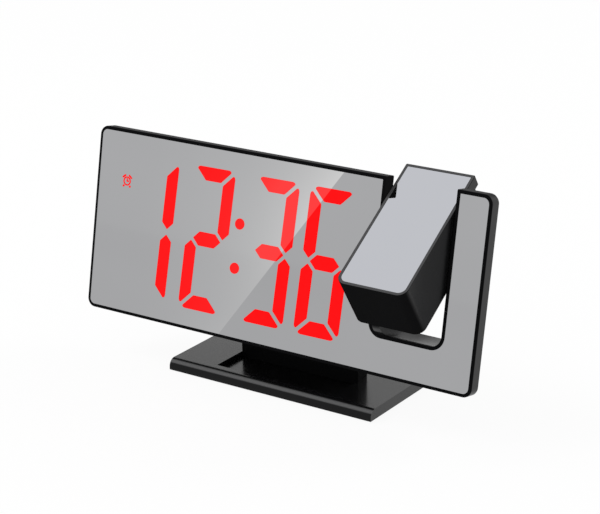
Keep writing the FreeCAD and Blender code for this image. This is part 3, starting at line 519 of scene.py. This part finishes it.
    def ribbed(self, graph: MaterialGraph) -> None:
        """Rubber with fine ribs across the depth.

        Args:
            graph: The material's graph.
        """
        wave = graph.node("ShaderNodeTexWave", {"bands_direction": "Y"},
                          {"Vector": graph.coords.outputs["Object"], "Scale": 190.0, "Distortion": 0.0})
        dust = graph.noise(size=3.0, detail=4.0)
        graph.set(Base_Color=self.shades(graph, dust), Roughness=self.roughness + (dust - 0.5) * 0.2)
        graph.bump(Value(graph, wave.outputs[1]), self.grain_depth)

    def clear(self, graph: MaterialGraph) -> None:
        """Clear optics, tinted, with a glow where a lamp shines through.

        Args:
            graph: The material's graph.
        """
        haze = graph.noise(size=2.5, detail=3.0)
        graph.set(Base_Color=self.shades(graph, haze), Roughness=self.roughness + haze * 0.04,
                  Transmission_Weight=0.85, IOR=1.49, Emission_Strength=self.glow,
                  Emission_Color=graph.mix(haze, DEEP_LAMP, PALE_LAMP))


RIM_BLACK = Finish("rim_black", (0.0045, 0.0045, 0.005), roughness=0.34, specular=0.0,
                   coat=Coat(0.6, 0.12, in_front=0.03, on_top=0.24, within=0.07))
# The base's rounded front edge has a painted highlight strip.
BASE_BLACK = Finish("base_black", (0.005, 0.005, 0.0055), roughness=0.32, specular=0.02,
                    coat=Coat(0.74, 0.16, in_front=0.3), painted_edge_highlight=(0.11, 0.11, 0.112))
NECK_BLACK = Finish("neck_black", (0.004, 0.004, 0.0043), roughness=0.42, specular=0.03,
                    coat=Coat(0.16, 0.2, in_front=0.3))
# The housing's deck in the notch loses most of its gloss as a painted dark reflection of the block.
HOUSING_BLACK = Finish("housing_black", (0.006, 0.006, 0.0065), roughness=0.48, specular=0.1,
                       coat=Coat(0.5, 0.3, in_front=0.3, within=0.05, in_notch=0.1),
                       grain=0.5, grain_depth=0.012)
BLOCK_BLACK = Finish("block_black", (0.0045, 0.0045, 0.0048), roughness=0.5, specular=0.0,
                     coat=Coat(0.6, 0.3, in_front=0.05), grain=0.45, grain_depth=0.01)
# The block's frame is painted lighter on its front faces, as light.
BLOCK_RIM = Finish("block_rim", (0.0045, 0.0045, 0.0048), roughness=0.42, specular=0.0,
                   coat=Coat(0.6, 0.3, in_front=0.05), painted_front_light=(0.075, 0.075, 0.077))
BUTTON_BLACK = Finish("button_black", (0.035, 0.035, 0.037), roughness=0.55, specular=0.4, grain=0.3,
                      grain_depth=0.012)
MARK_GREY = Finish("mark_grey", (0.36, 0.36, 0.37), roughness=0.5, grain=0.3)
# The display's mirror carries the painted glare.
MIRROR = Finish("display_mirror", (0.372, 0.374, 0.382), Pattern.MIRROR, roughness=0.035, metallic=1.0,
                spread=0.07, painted_glare_share=0.92)
BLOCK_MIRROR = Finish("block_mirror", (0.515, 0.525, 0.56), Pattern.MIRROR, roughness=0.03, metallic=1.0,
                      spread=0.03)
LIT_RED = Finish("lit_red", (1.0, 0.006, 0.007), Pattern.LIT, roughness=0.35, specular=0.0, glow=1.0)
DIFFUSER_RED = Finish("diffuser_red", (0.55, 0.02, 0.02), grain=0.6)
MASK_BLACK = Finish("mask_black", (0.008, 0.008, 0.008), roughness=0.7, specular=0.2)
WHITE_PLASTIC = Finish("white_plastic", (0.78, 0.78, 0.76), roughness=0.45, spread=0.03)
BOARD_GREEN = Finish("board_green", (0.02, 0.14, 0.06), Pattern.BOARD, roughness=0.35, grain_depth=0.02)
CHIP_YELLOW = Finish("chip_yellow", (0.8, 0.72, 0.5), roughness=0.3)
ZINC = Finish("zinc_steel", (0.62, 0.62, 0.63), Pattern.BRUSHED, roughness=0.32, metallic=1.0)
DARK_STEEL = Finish("dark_steel", (0.16, 0.16, 0.17), Pattern.BRUSHED, roughness=0.38, metallic=1.0)
CELL_STEEL = Finish("cell_steel", (0.72, 0.72, 0.71), Pattern.BRUSHED, roughness=0.22, metallic=1.0,
                    spread=0.05)
BRASS = Finish("spring_brass", (0.7, 0.5, 0.22), Pattern.BRUSHED, roughness=0.3, metallic=1.0)
ACETAL = Finish("acetal", (0.74, 0.73, 0.68), roughness=0.42, spread=0.04)
PAD_RUBBER = Finish("pad_rubber", (0.02, 0.02, 0.021), Pattern.RIBBED, roughness=0.8, specular=0.15,
                    grain_depth=0.1)
LENS_CLEAR = Finish("lens_clear", (0.6, 0.06, 0.05), Pattern.CLEAR, roughness=0.02, glow=0.75)
FILM_CLEAR = Finish("film_clear", (0.5, 0.2, 0.18), Pattern.CLEAR, roughness=0.1, glow=0.4)

NODE_FINISHES: dict[Finish, tuple[str, ...]] = {
    RIM_BLACK: ("front_frame",),
    BASE_BLACK: ("base_plate",),
    NECK_BLACK: ("neck",),
    HOUSING_BLACK: ("rear_cover", "battery_door"),
    BLOCK_BLACK: ("projector_shell", "focus_ring"),
    BLOCK_RIM: ("projector_frame",),
    BUTTON_BLACK: ("snooze_bar", "mode_button", "alarm_button", "up_button", "down_button",
                   "projection_button"),
    MIRROR: ("mirror_panel",),
    BLOCK_MIRROR: ("projector_mirror",),
    DIFFUSER_RED: ("colon_lens", "alarm_lens", "hour_tens_lens", "hour_units_lens", "minute_tens_lens",
                   "minute_units_lens", "lamp_led"),
    MASK_BLACK: ("segment_mask", "optics_tube", "lens_barrel"),
    WHITE_PLASTIC: ("reflector_block",),
    BOARD_GREEN: ("display_board", "main_board", "lamp_board"),
    CHIP_YELLOW: ("display_leds",),
    ZINC: ("neck_screws", "board_screws", "journal_clip"),
    DARK_STEEL: ("hinge_pin", "press_switches", "speaker", "power_socket", "right_journal"),
    CELL_STEEL: ("coin_cell",),
    BRASS: ("cell_contact",),
    ACETAL: ("hinge_washers", "left_bush", "right_bush", "left_journal", "swing_washer"),
    PAD_RUBBER: ("grip_pad",),
    LENS_CLEAR: ("condenser_lens", "objective_lens"),
    FILM_CLEAR: ("time_film",),
}

BLOCK_BODIES: tuple[str, ...] = ("projector", "focus_ring", "lens")


class Dresser:
    """Builds each finish once and puts it on pieces and carried-over nodes."""

    def __init__(self) -> None:
        """Start with no material built."""
        self.built: dict[Finish, bpy.types.Material] = {}

    def dress(self, piece: Piece, finish: Finish) -> None:
        """Give a piece one finish all over.

        Args:
            piece: The piece.
            finish: Its finish.
        """
        if finish not in self.built:
            self.built[finish] = finish.material()
        piece.data.materials.clear()
        piece.data.materials.append(self.built[finish])

    def dress_nodes(self, nodes: dict[str, Piece]) -> None:
        """Give every carried-over node its finish.

        Args:
            nodes: The nodes by name.
        """
        for finish, names in NODE_FINISHES.items():
            for name in names:
                self.dress(nodes[name], finish)

    @staticmethod
    def hide_block(bodies: dict[str, Piece]) -> None:
        """Keep the projector block's dark bulk out of every mirror.

        Args:
            bodies: The bodies by name.
        """
        for name in BLOCK_BODIES:
            for node in bodies[name].children:
                node.visible_glossy = False


# Modelling


class Bench:
    """Modelling moves, made in edit mode as by hand."""

    @staticmethod
    def take(*pieces: Piece) -> None:
        """Leave edit mode and select some pieces, or none, and nothing else.

        Args:
            pieces: The pieces, the active one first.
        """
        if bpy.context.object and bpy.context.object.mode != "OBJECT":
            bpy.ops.object.mode_set(mode="OBJECT")
        bpy.ops.object.select_all(action="DESELECT")
        for piece in reversed(pieces):
            piece.select_set(True)
            bpy.context.view_layer.objects.active = piece

    @staticmethod
    def box(name: str, low: Point, high: Point) -> Piece:
        """Box with its place in its mesh.

        Args:
            name: Its name.
            low: Its lowest corner.
            high: Its highest corner.

        Returns:
            The box.
        """
        Bench.take()
        middle = [(a + b) / 2 for a, b in zip(low, high)]
        size = [b - a for a, b in zip(low, high)]
        bpy.ops.mesh.primitive_cube_add(size=1.0, location=middle, scale=size)
        return Bench.settle(name)

    @staticmethod
    def disc(name: str, front: Point, radius: float, depth: float, sides: int = 48) -> Piece:
        """Short round bar along the depth, with its place in its mesh.

        Args:
            name: Its name.
            front: The middle of its front face.
            radius: Its radius.
            depth: Its length along the depth.
            sides: How many sides it has.

        Returns:
            The bar.
        """
        Bench.take()
        centre = (front[0], front[1] + depth / 2, front[2])
        bpy.ops.mesh.primitive_cylinder_add(vertices=sides, radius=radius, depth=depth, location=centre,
                                            rotation=(math.pi / 2, 0.0, 0.0))
        return Bench.settle(name)

    @staticmethod
    def settle(name: str) -> Piece:
        """Name the new primitive and put its place into its mesh.

        Args:
            name: Its name.

        Returns:
            The primitive.
        """
        piece = bpy.context.object
        piece.name = name
        bpy.ops.object.transform_apply(location=True, rotation=True, scale=True)
        return piece

    @staticmethod
    def edit(piece: Piece) -> None:
        """Open a piece for editing by its edges, with nothing selected.

        Args:
            piece: The piece.
        """
        Bench.take(piece)
        bpy.ops.object.mode_set(mode="EDIT")
        bpy.ops.mesh.select_mode(type="EDGE")
        bpy.ops.mesh.select_all(action="DESELECT")

    @staticmethod
    def slice(piece: Piece, cuts: Iterable[tuple[Point, Point]]) -> None:
        """Cut a piece by planes and close it.

        Args:
            piece: The piece.
            cuts: A point of each plane, and the way out of the piece that is kept.
        """
        for point, outward in cuts:
            Bench.edit(piece)
            bpy.ops.mesh.select_all(action="SELECT")
            bpy.ops.mesh.bisect(plane_co=point, plane_no=outward, use_fill=True, clear_outer=True)
        Bench.take()

    @staticmethod
    def round_edges(piece: Piece, test: EdgeTest, width: float, steps: int = 3) -> None:
        """Bevel some edges.

        Args:
            piece: The piece.
            test: Says which edges.
            width: How far from the edge the bevel starts.
            steps: How many faces it has across.
        """
        Bench.edit(piece)
        mesh = bmesh.from_edit_mesh(piece.data)
        chosen = [edge for edge in mesh.edges if test(edge)]
        for edge in chosen:
            edge.select_set(True)
        bmesh.update_edit_mesh(piece.data)
        if chosen:
            bpy.ops.mesh.bevel(offset=width, offset_type="OFFSET", segments=steps, affect="EDGES")
        Bench.take()

    @staticmethod
    def copy(piece: Piece, place: Matrix) -> Piece:
        """Copy with its own mesh, moved in the mesh.

        Args:
            piece: The piece.
            place: The move, which may mirror.

        Returns:
            The copy.
        """
        twin = piece.copy()
        twin.data = piece.data.copy()
        twin.data.transform(place)
        if place.determinant() < 0:
            twin.data.flip_normals()
        bpy.context.scene.collection.objects.link(twin)
        return twin

    @staticmethod
    def scrap(*pieces: Piece) -> None:
        """Delete pieces that were only copied or cut with."""
        for piece in pieces:
            bpy.data.objects.remove(piece, do_unlink=True)

    @staticmethod
    def join(name: str, pieces: Sequence[Piece]) -> Piece:
        """Several objects as one.

        Args:
            name: The name of the whole.
            pieces: The objects.

        Returns:
            The whole.
        """
        Bench.take(*pieces)
        if len(pieces) > 1:
            bpy.ops.object.join()
        whole = bpy.context.object
        whole.name = name
        whole.data.name = name
        return whole

    @staticmethod
    def subtract(piece: Piece, cutter: Piece) -> None:
        """Cut one piece out of another and delete the cutter.

        Args:
            piece: The piece that is cut.
            cutter: What is cut out of it.
        """
        Bench.take(piece)
        cut = piece.modifiers.new("cut", "BOOLEAN")
        cut.operation = "DIFFERENCE"
        cut.object = cutter
        cut.solver = "EXACT"
        bpy.ops.object.modifier_apply(modifier=cut.name)
        Bench.scrap(cutter)

    @staticmethod
    def smooth(piece: Piece, angle: float = math.radians(35.0)) -> None:
        """Smooth the faces of a finished piece where they meet gently.

        Args:
            piece: The piece.
            angle: The largest angle between two faces that is smoothed.
        """
        Bench.take(piece)
        bpy.ops.object.shade_smooth_by_angle(angle=angle)
        Bench.take()


def edges_within(axis: int, low: float = -math.inf, high: float = math.inf) -> EdgeTest:
    """Test for edges that lie wholly between two values on an axis."""
    return lambda edge: all(low < vert.co[axis] < high for vert in edge.verts)


def depth_edges(low: float = -math.inf, high: float = math.inf) -> EdgeTest:
    """Test for edges that run along the depth between two heights."""
    level = edges_within(HEIGHT, low, high)
    return lambda edge: (abs(edge.verts[1].co.y - edge.verts[0].co.y) > 0.9 * edge.calc_length()
                         and level(edge))


@dataclass
class SubAssembly:
    """What every dressed sub-assembly has."""

    dresser: Dresser

    def finish_piece(self, piece: Piece, place: Matrix, body: str, slot: str, finish: Finish,
                     replaced: Sequence[str] = ()) -> None:
        """Bring a piece to the row frame, dress it and tie it to its body.

        Args:
            piece: The piece, in millimetres.
            place: The matrix from its own frame to metres in the row frame.
            body: The body it rides on.
            slot: The record's material slot; not used.
            finish: Its finish.
            replaced: Nodes that it stands for.
        """
        Bench.smooth(piece)
        piece.data.transform(place)
        self.dresser.dress(piece, finish)
        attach(piece, body)
        if replaced:
            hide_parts(*replaced)
        LOG.info("%s: %d faces on %s", piece.name, len(piece.data.polygons), body)


class Bar(Enum):
    """The seven bars of a digit."""

    TOP = "a"
    TOP_RIGHT = "b"
    LOW_RIGHT = "c"
    BOTTOM = "d"
    LOW_LEFT = "e"
    TOP_LEFT = "f"
    MIDDLE = "g"


SHOWN: dict[str, tuple[Bar, ...]] = {
    "1": (Bar.TOP_RIGHT, Bar.LOW_RIGHT),
    "2": (Bar.TOP, Bar.TOP_RIGHT, Bar.MIDDLE, Bar.LOW_LEFT, Bar.BOTTOM),
    "3": (Bar.TOP, Bar.TOP_RIGHT, Bar.MIDDLE, Bar.LOW_RIGHT, Bar.BOTTOM),
    "6": (Bar.TOP, Bar.TOP_LEFT, Bar.MIDDLE, Bar.LOW_LEFT, Bar.LOW_RIGHT, Bar.BOTTOM),
}


@dataclass
class LitDisplay(SubAssembly):
    """The lit digits, colon and bell clock mark that shine through the mirror."""

    centres: tuple[float, ...] = (-65.8, -35.8, -2.9, 25.0)
    places: tuple[str, ...] = ("hour_tens", "hour_units", "minute_tens", "minute_units")
    reading: str = "1236"
    middle_height: float = 40.6
    half_width: float = 11.2
    half_height: float = 31.8
    bar: float = 6.0
    step: float = 1.202
    tip_short: float = 0.9
    tip_long: float = 2.3
    tip_round: float = 0.7
    point_round: float = 0.3
    middle_grow: float = 0.3
    bottom_grow: float = 0.4
    front: float = 0.03
    back: float = 0.1
    colon_x: float = -19.6
    colon_half_spread: float = 9.75
    colon_r: float = 2.45
    colon_round: float = 0.02
    mark_x: float = -82.0
    mark_height: float = 59.3
    mark_r: float = 2.05
    mark_line: float = 0.62
    bell_out: float = 1.05
    bell_line_share: float = 1.3
    bell_low: float = 1.3
    bell_high: float = 5.0
    bell_half_gap: float = 0.75
    long_hand: float = 1.2
    short_hand: float = 1.0
    foot_r: float = 0.5
    foot_x: float = 1.75
    foot_drop: float = 2.25
    slant: float = 0.035
    climb: float = 0.0095
    squat: float = 0.989
    shift: Spot = (-0.36, 0.55)

    def print_place(self) -> Matrix:
        """Place of the lit figures, which lean a little and climb a little across the display.

        Returns:
            The matrix to metres in the row frame.
        """
        about = Matrix.Translation((0.0, 0.0, self.middle_height))
        lean = Matrix(((1.0, 0.0, self.slant, self.shift[0]), (0.0, 1.0, 0.0, 0.0),
                       (self.climb, 0.0, self.squat, self.shift[1]), (0.0, 0.0, 0.0, 1.0)))
        return CLOCK @ about @ lean @ about.inverted()

    def flat_bar(self, thickness: float) -> Piece:
        """Top bar, its ends mitred.

        Args:
            thickness: How thick it is up the display.

        Returns:
            The bar.
        """
        side = self.half_width - self.step
        low = self.half_height - thickness
        piece = Bench.box("flat_bar", (-side, self.front, low), (side, self.back, self.half_height))
        Bench.slice(piece, [((sign * side, 0, self.half_height), (sign, 0, -1)) for sign in (-1, 1)])
        Bench.slice(piece, [((sign * (side - self.tip_short), 0, self.half_height - self.tip_short),
                             (sign * self.tip_short, 0, self.tip_long - self.tip_short))
                            for sign in (-1, 1)])
        Bench.round_edges(piece, depth_edges(low=self.half_height - self.tip_short - NEAR), self.tip_round)
        Bench.round_edges(piece, depth_edges(high=low + NEAR), self.point_round)
        return piece

    def upright_bar(self) -> Piece:
        """Upper right bar, mitred at its top and pointed at its foot.

        Returns:
            The bar.
        """
        inner = self.half_width - self.bar
        point = self.half_width - self.bar / 2
        top = self.half_height - self.step
        piece = Bench.box("upright_bar", (inner, self.front, self.step), (self.half_width, self.back, top))
        Bench.slice(piece, [((self.half_width, 0, top), (-1, 0, 1)), ((point, 0, self.step), (-1, 0, -1)),
                            ((point, 0, self.step), (1, 0, -1)),
                            ((self.half_width - self.tip_short, 0, top - self.tip_short),
                             (self.tip_long - self.tip_short, 0, self.tip_short))])
        Bench.round_edges(piece, depth_edges(low=top - self.tip_long - NEAR), self.tip_round)
        Bench.round_edges(piece, depth_edges(high=top - self.bar + NEAR), self.point_round)
        return piece

    def middle_bar(self) -> Piece:
        """Middle bar, pointed at both ends.

        Returns:
            The bar.
        """
        tip = self.half_width - self.bar / 2 - self.step + self.middle_grow
        half = self.bar / 2 + self.middle_grow / 2
        piece = Bench.box("middle_bar", (-tip, self.front, -half), (tip, self.back, half))
        Bench.slice(piece, [((sign * tip, 0, 0), (sign, 0, up)) for sign in (-1, 1) for up in (-1, 1)])
        Bench.round_edges(piece, depth_edges(), self.point_round)
        return piece

    def digit(self, name: str, centre: float, shown: Sequence[Bar]) -> Piece:
        """One lit digit from copies of its bars.

        Args:
            name: The piece's name.
            centre: Where its middle is across the display.
            shown: The bars that are lit.

        Returns:
            The piece.
        """
        flat, low_flat = self.flat_bar(self.bar), self.flat_bar(self.bar + self.bottom_grow)
        upright, middle = self.upright_bar(), self.middle_bar()
        place = Matrix.Translation((centre, 0.0, self.middle_height))
        turns = {Bar.TOP: (flat, (1, 1, 1)), Bar.BOTTOM: (low_flat, (1, 1, -1)),
                 Bar.MIDDLE: (middle, (1, 1, 1)),
                 Bar.TOP_RIGHT: (upright, (1, 1, 1)), Bar.TOP_LEFT: (upright, (-1, 1, 1)),
                 Bar.LOW_RIGHT: (upright, (1, 1, -1)), Bar.LOW_LEFT: (upright, (-1, 1, -1))}
        copies = []
        for bar in shown:
            source, signs = turns[bar]
            copies.append(Bench.copy(source, place @ Matrix.Diagonal((*signs, 1.0))))
        Bench.scrap(flat, low_flat, upright, middle)
        return Bench.join(name, copies)

    def colon(self) -> Piece:
        """The two round dots.

        Returns:
            The piece.
        """
        dots = []
        for side in (-1, 1):
            spot = (self.colon_x, self.front, self.middle_height + side * self.colon_half_spread)
            dots.append(Bench.disc("dot", spot, self.colon_r, self.back - self.front))
            Bench.round_edges(dots[-1], edges_within(DEPTH, high=self.front + NEAR), self.colon_round,
                              steps=2)
        return Bench.join("lit_colon", dots)

    def ring(self, name: str, radius: float, line: float) -> Piece:
        """Flat ring about the mark's middle.

        Args:
            name: Its name.
            radius: Its outer radius.
            line: How wide its line is.

        Returns:
            The ring.
        """
        outer = Bench.disc(name, (self.mark_x, self.front, self.mark_height), radius, self.back - self.front)
        hole = Bench.disc("hole", (self.mark_x, self.front - CUT_PAST, self.mark_height), radius - line,
                          CUT_DEPTH)
        Bench.subtract(outer, hole)
        return outer

    def bell_mark(self) -> Piece:
        """Small round clock with two bells, hands and feet.

        Returns:
            The piece.
        """
        line, x, height = self.mark_line, self.mark_x, self.mark_height
        face = self.ring("face", self.mark_r, line)
        bells = self.ring("bells", self.mark_r + self.bell_out, line * self.bell_line_share)
        Bench.slice(bells, [((x, 0, height + self.bell_low), (0, 0, -1))])
        Bench.subtract(bells, Bench.box("gap", (x - self.bell_half_gap, -CUT_PAST, height),
                                        (x + self.bell_half_gap, CUT_PAST, height + self.bell_high)))
        hands = [Bench.box("long_hand", (x - line / 2, self.front, height - line / 2),
                           (x + line / 2, self.back, height + self.long_hand)),
                 Bench.box("short_hand", (x + line / 2, self.front, height - line / 2),
                           (x + self.short_hand, self.back, height + line / 2))]
        feet = [Bench.disc("foot", (x + side * self.foot_x, self.front, height - self.foot_drop),
                           self.foot_r, self.back - self.front, sides=24) for side in (-1, 1)]
        return Bench.join("lit_bell_clock", [face, bells, *hands, *feet])

    def build(self) -> None:
        """Make every lit piece."""
        for place, centre, figure in zip(self.places, self.centres, self.reading):
            piece = self.digit("lit_" + place, centre, SHOWN[figure])
            self.finish_piece(piece, self.print_place(), "clock", "red_diffuser", LIT_RED)
        self.finish_piece(self.colon(), self.print_place(), "clock", "red_diffuser", LIT_RED)
        self.finish_piece(self.bell_mark(), CLOCK, "clock", "red_diffuser", LIT_RED)


@dataclass
class Fasteners(SubAssembly):
    """The screws that show in the housing's and the block's back."""

    head_r: float = 1.9
    head: float = 1.3
    head_round: float = 0.4
    shank_r: float = 1.0
    shank_round: float = 0.3
    slot_width: float = 0.55
    slot_length: float = 2.3
    slot_depth: float = 0.75
    first_turn: float = math.radians(17.0)
    next_turn: float = math.radians(31.0)
    housing_head_back: float = 20.7
    housing_tip: float = 5.0
    housing_spots: Spots = ((-89.0, 12.0), (-89.0, 68.0), (42.0, 12.0), (42.0, 68.0), (66.5, 9.6),
                            (85.7, 40.0))
    block_head_back: float = 24.7
    block_tip: float = 3.3
    block_spots: Spots = ((54.4, 24.0), (78.6, 24.0), (54.4, 56.0), (78.6, 56.0))

    def screw(self, back: float, tip: float) -> Piece:
        """Pan-head screw with a cross recess, its head at the back, on the depth axis.

        Args:
            back: The depth of its head's back.
            tip: The depth of its tip.

        Returns:
            The screw.
        """
        head = Bench.disc("head", (0.0, back - self.head, 0.0), self.head_r, self.head, sides=40)
        Bench.round_edges(head, edges_within(DEPTH, low=back - NEAR), self.head_round)
        long, short = self.slot_length / 2, self.slot_width / 2
        for x, z in ((short, long), (long, short)):
            Bench.subtract(head, Bench.box("recess", (-x, back - self.slot_depth, -z),
                                           (x, back + CUT_PAST, z)))
        shank = Bench.disc("shank", (0.0, tip, 0.0), self.shank_r, back - self.head - tip, sides=24)
        Bench.round_edges(shank, edges_within(DEPTH, high=tip + NEAR), self.shank_round, steps=2)
        return Bench.join("screw", [head, shank])

    def group(self, name: str, spots: Spots, back: float, tip: float) -> Piece:
        """Copies of one screw, each turned a little differently.

        Args:
            name: The piece's name.
            spots: Where each screw is across and up the clock.
            back: The depth of the heads' backs.
            tip: The depth of the tips.

        Returns:
            The piece.
        """
        source = self.screw(back, tip)
        copies = []
        for step, (x, height) in enumerate(spots):
            turn = Matrix.Rotation(self.first_turn + self.next_turn * step, 4, "Y")
            copies.append(Bench.copy(source, Matrix.Translation((x, 0.0, height)) @ turn))
        Bench.scrap(source)
        return Bench.join(name, copies)

    def build(self) -> None:
        """Make both groups of screws."""
        housing = self.group("cross_housing_screws", self.housing_spots, self.housing_head_back,
                             self.housing_tip)
        self.finish_piece(housing, CLOCK, "clock", "dark_steel", DARK_STEEL, ("housing_screws",))
        block = self.group("cross_block_screws", self.block_spots, self.block_head_back, self.block_tip)
        self.finish_piece(block, BLOCK, "projector", "dark_steel", DARK_STEEL, ("projector_screws",))
        block.visible_glossy = False


class Mark(Enum):
    """Plain marks on the rear buttons, from the left."""

    BARS = "mode"
    BELL = "alarm"
    UP = "up"
    DOWN = "down"
    BEAM = "projection"


@dataclass
class Controls(SubAssembly):
    """Raised marks on the rear buttons and grip ridges on the snooze bar."""

    first_x: float = -74.0
    pitch: float = 14.0
    height: float = 62.0
    cap_back: float = 22.0
    raised: float = 0.12
    sunk: float = 0.1
    line_half_width: float = 0.22
    line_half: float = 1.3
    line_pitch: float = 0.9
    bell_r: float = 1.2
    bell_drop: float = 0.5
    brim_half: float = 1.6
    brim_drop: float = 0.85
    arrow_r: float = 1.5
    ring_r: float = 1.5
    hole_r: float = 1.1
    dot_r: float = 0.45
    ridges: int = 9
    ridge_pitch: float = 4.6
    ridge_round: float = 0.096
    ridge_half_width: float = 0.35
    ridge_front: float = 12.4
    ridge_back: float = 16.6
    bar_top: float = 77.2

    def cap(self, x: float, radius: float, sides: int = 32) -> Piece:
        """Raised disc or triangle on a button."""
        return Bench.disc("mark", (x, self.cap_back - self.sunk, self.height), radius,
                          self.sunk + self.raised, sides)

    def line(self, x: float, height: float, half: float) -> Piece:
        """Short raised line on a button."""
        return Bench.box("line", (x - half, self.cap_back - self.sunk, height - self.line_half_width),
                         (x + half, self.cap_back + self.raised, height + self.line_half_width))

    def mark(self, kind: Mark, x: float) -> Piece:
        """The raised mark of one button.

        Args:
            kind: Which mark.
            x: Where the button is across the clock.

        Returns:
            The piece.
        """
        if kind is Mark.BARS:
            parts = [self.line(x, self.height + rise, self.line_half)
                     for rise in (-self.line_pitch, 0.0, self.line_pitch)]
        elif kind is Mark.BELL:
            parts = [self.cap(x, self.bell_r), self.line(x, self.height - self.brim_drop, self.brim_half)]
            Bench.slice(parts[0], [((x, 0, self.height - self.bell_drop), (0, 0, -1))])
        elif kind is Mark.BEAM:
            parts = [self.cap(x, self.ring_r), self.cap(x, self.dot_r, sides=24)]
            hole = Bench.disc("hole", (x, self.cap_back - CUT_PAST, self.height), self.hole_r, CUT_DEPTH,
                              sides=32)
            Bench.subtract(parts[0], hole)
        else:
            about = Matrix.Translation((0.0, 0.0, self.height))
            flip = Matrix.Diagonal((1.0, 1.0, 1.0 if kind is Mark.UP else -1.0, 1.0))
            arrow = self.cap(x, self.arrow_r, sides=3)
            parts = [Bench.copy(arrow, about @ flip @ about.inverted())]
            Bench.scrap(arrow)
        return Bench.join(kind.value + "_mark", parts)

    def snooze_ridges(self) -> Piece:
        """Row of low ridges across the snooze bar.

        Returns:
            The piece.
        """
        ridge = Bench.box("ridge", (-self.ridge_half_width, self.ridge_front, self.bar_top - self.sunk),
                          (self.ridge_half_width, self.ridge_back, self.bar_top + self.raised))
        Bench.round_edges(ridge, edges_within(HEIGHT, low=self.bar_top), self.ridge_round)
        half = (self.ridges - 1) / 2
        rows = [Bench.copy(ridge, Matrix.Translation(((step - half) * self.ridge_pitch, 0.0, 0.0)))
                for step in range(self.ridges)]
        Bench.scrap(ridge)
        return Bench.join("snooze_ridges", rows)

    def build(self) -> None:
        """Make the marks and the ridges."""
        for step, kind in enumerate(Mark):
            piece = self.mark(kind, self.first_x + step * self.pitch)
            self.finish_piece(piece, CLOCK, kind.value + "_button", "white_plastic", MARK_GREY)
        self.finish_piece(self.snooze_ridges(), CLOCK, "snooze", "button_grey", BUTTON_BLACK)


# Stage


@dataclass(frozen=True)
class Lamp:
    """Soft square lamp aimed at a point, in metres and watts."""

    name: str
    place: Point
    size: float
    power: float
    target: Point = (0.0, 0.0, 0.05)

    def build(self) -> None:
        """Hang the lamp, unseen in any mirror."""
        light = bpy.data.lights.new(self.name, "AREA")
        light.size = self.size
        light.energy = self.power
        lamp = bpy.data.objects.new(self.name, light)
        lamp.visible_glossy = False
        lamp.location = self.place
        aim = Vector(self.target) - Vector(self.place)
        lamp.rotation_euler = aim.to_track_quat("-Z", "Y").to_euler()
        bpy.context.scene.collection.objects.link(lamp)


@dataclass
class Stage:
    """Floor, world, lamps and camera."""

    floor_half: float = 4.0
    floor_glow: float = 0.92
    sky: float = 0.72
    lamps: tuple[Lamp, ...] = (Lamp("key", (-0.9, -0.5, 1.3), 0.8, 9.0),
                               Lamp("rim", (0.8, 0.9, 1.0), 0.6, 5.0))
    camera_place: Point = (0.4485, -0.6487, 0.3358)
    azimuth: float = math.radians(34.793)
    elevation: float = math.radians(19.667)
    roll: float = math.radians(-1.099)
    lens: float = 117.01
    sensor: float = 36.0
    camera_reach: float = 50.0

    def floor(self) -> None:
        """White floor that keeps a faint shadow."""
        Bench.take()
        bpy.ops.mesh.primitive_plane_add(size=2 * self.floor_half, location=(0.0, 0.0, 0.0))
        plane = bpy.context.object
        plane.name = "floor"
        graph = MaterialGraph("floor_white")
        graph.set(Base_Color=(0.9, 0.9, 0.9), Roughness=0.9, Specular_IOR_Level=0.0)
        glow = graph.node("ShaderNodeEmission", {}, {"Color": (1.0, 1.0, 1.0), "Strength": 1.0})
        blend = graph.node("ShaderNodeMixShader", {}, {0: graph.seen() * self.floor_glow,
                                                      1: graph.shader.outputs[0], 2: glow.outputs[0]})
        graph.feed(graph.tree.nodes["Material Output"].inputs[0], blend.outputs[0])
        plane.data.materials.append(graph.material)

    def world(self) -> None:
        """White surroundings for what is seen directly or mirrored, dimmer as a light."""
        world = bpy.data.worlds.new("studio")
        world.use_nodes = True
        bpy.context.scene.world = world
        graph = ShaderGraph(world.node_tree)
        background = graph.tree.nodes["Background"]
        graph.feed(background.inputs["Color"], (1.0, 1.0, 1.0))
        graph.feed(background.inputs["Strength"], graph.seen() * (1.0 - self.sky) + self.sky)

    def camera(self) -> None:
        """Camera fitted to the photograph's view."""
        data = bpy.data.cameras.new("camera")
        data.lens = self.lens
        data.sensor_width = self.sensor
        data.clip_end = self.camera_reach
        camera = bpy.data.objects.new("camera", data)
        turn = (Matrix.Rotation(self.azimuth, 4, "Z")
                @ Matrix.Rotation(math.pi / 2 - self.elevation, 4, "X")
                @ Matrix.Rotation(self.roll, 4, "Z"))
        camera.matrix_world = Matrix.Translation(self.camera_place) @ turn
        bpy.context.scene.collection.objects.link(camera)
        bpy.context.scene.camera = camera

    def build(self) -> None:
        """Set the whole stage."""
        self.floor()
        self.world()
        for lamp in self.lamps:
            lamp.build()
        self.camera()
        bpy.context.scene.view_settings.view_transform = "Standard"


def main() -> None:
    """Load the frame, dress it and set the stage."""
    logging.basicConfig(level=logging.INFO, format="%(message)s")
    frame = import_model()
    dresser = Dresser()
    dresser.dress_nodes(frame["nodes"])
    dresser.hide_block(frame["bodies"])
    for assembly in (LitDisplay(dresser), Fasteners(dresser), Controls(dresser)):
        assembly.build()
    Stage().build()


if __name__ == "__main__":
    main()
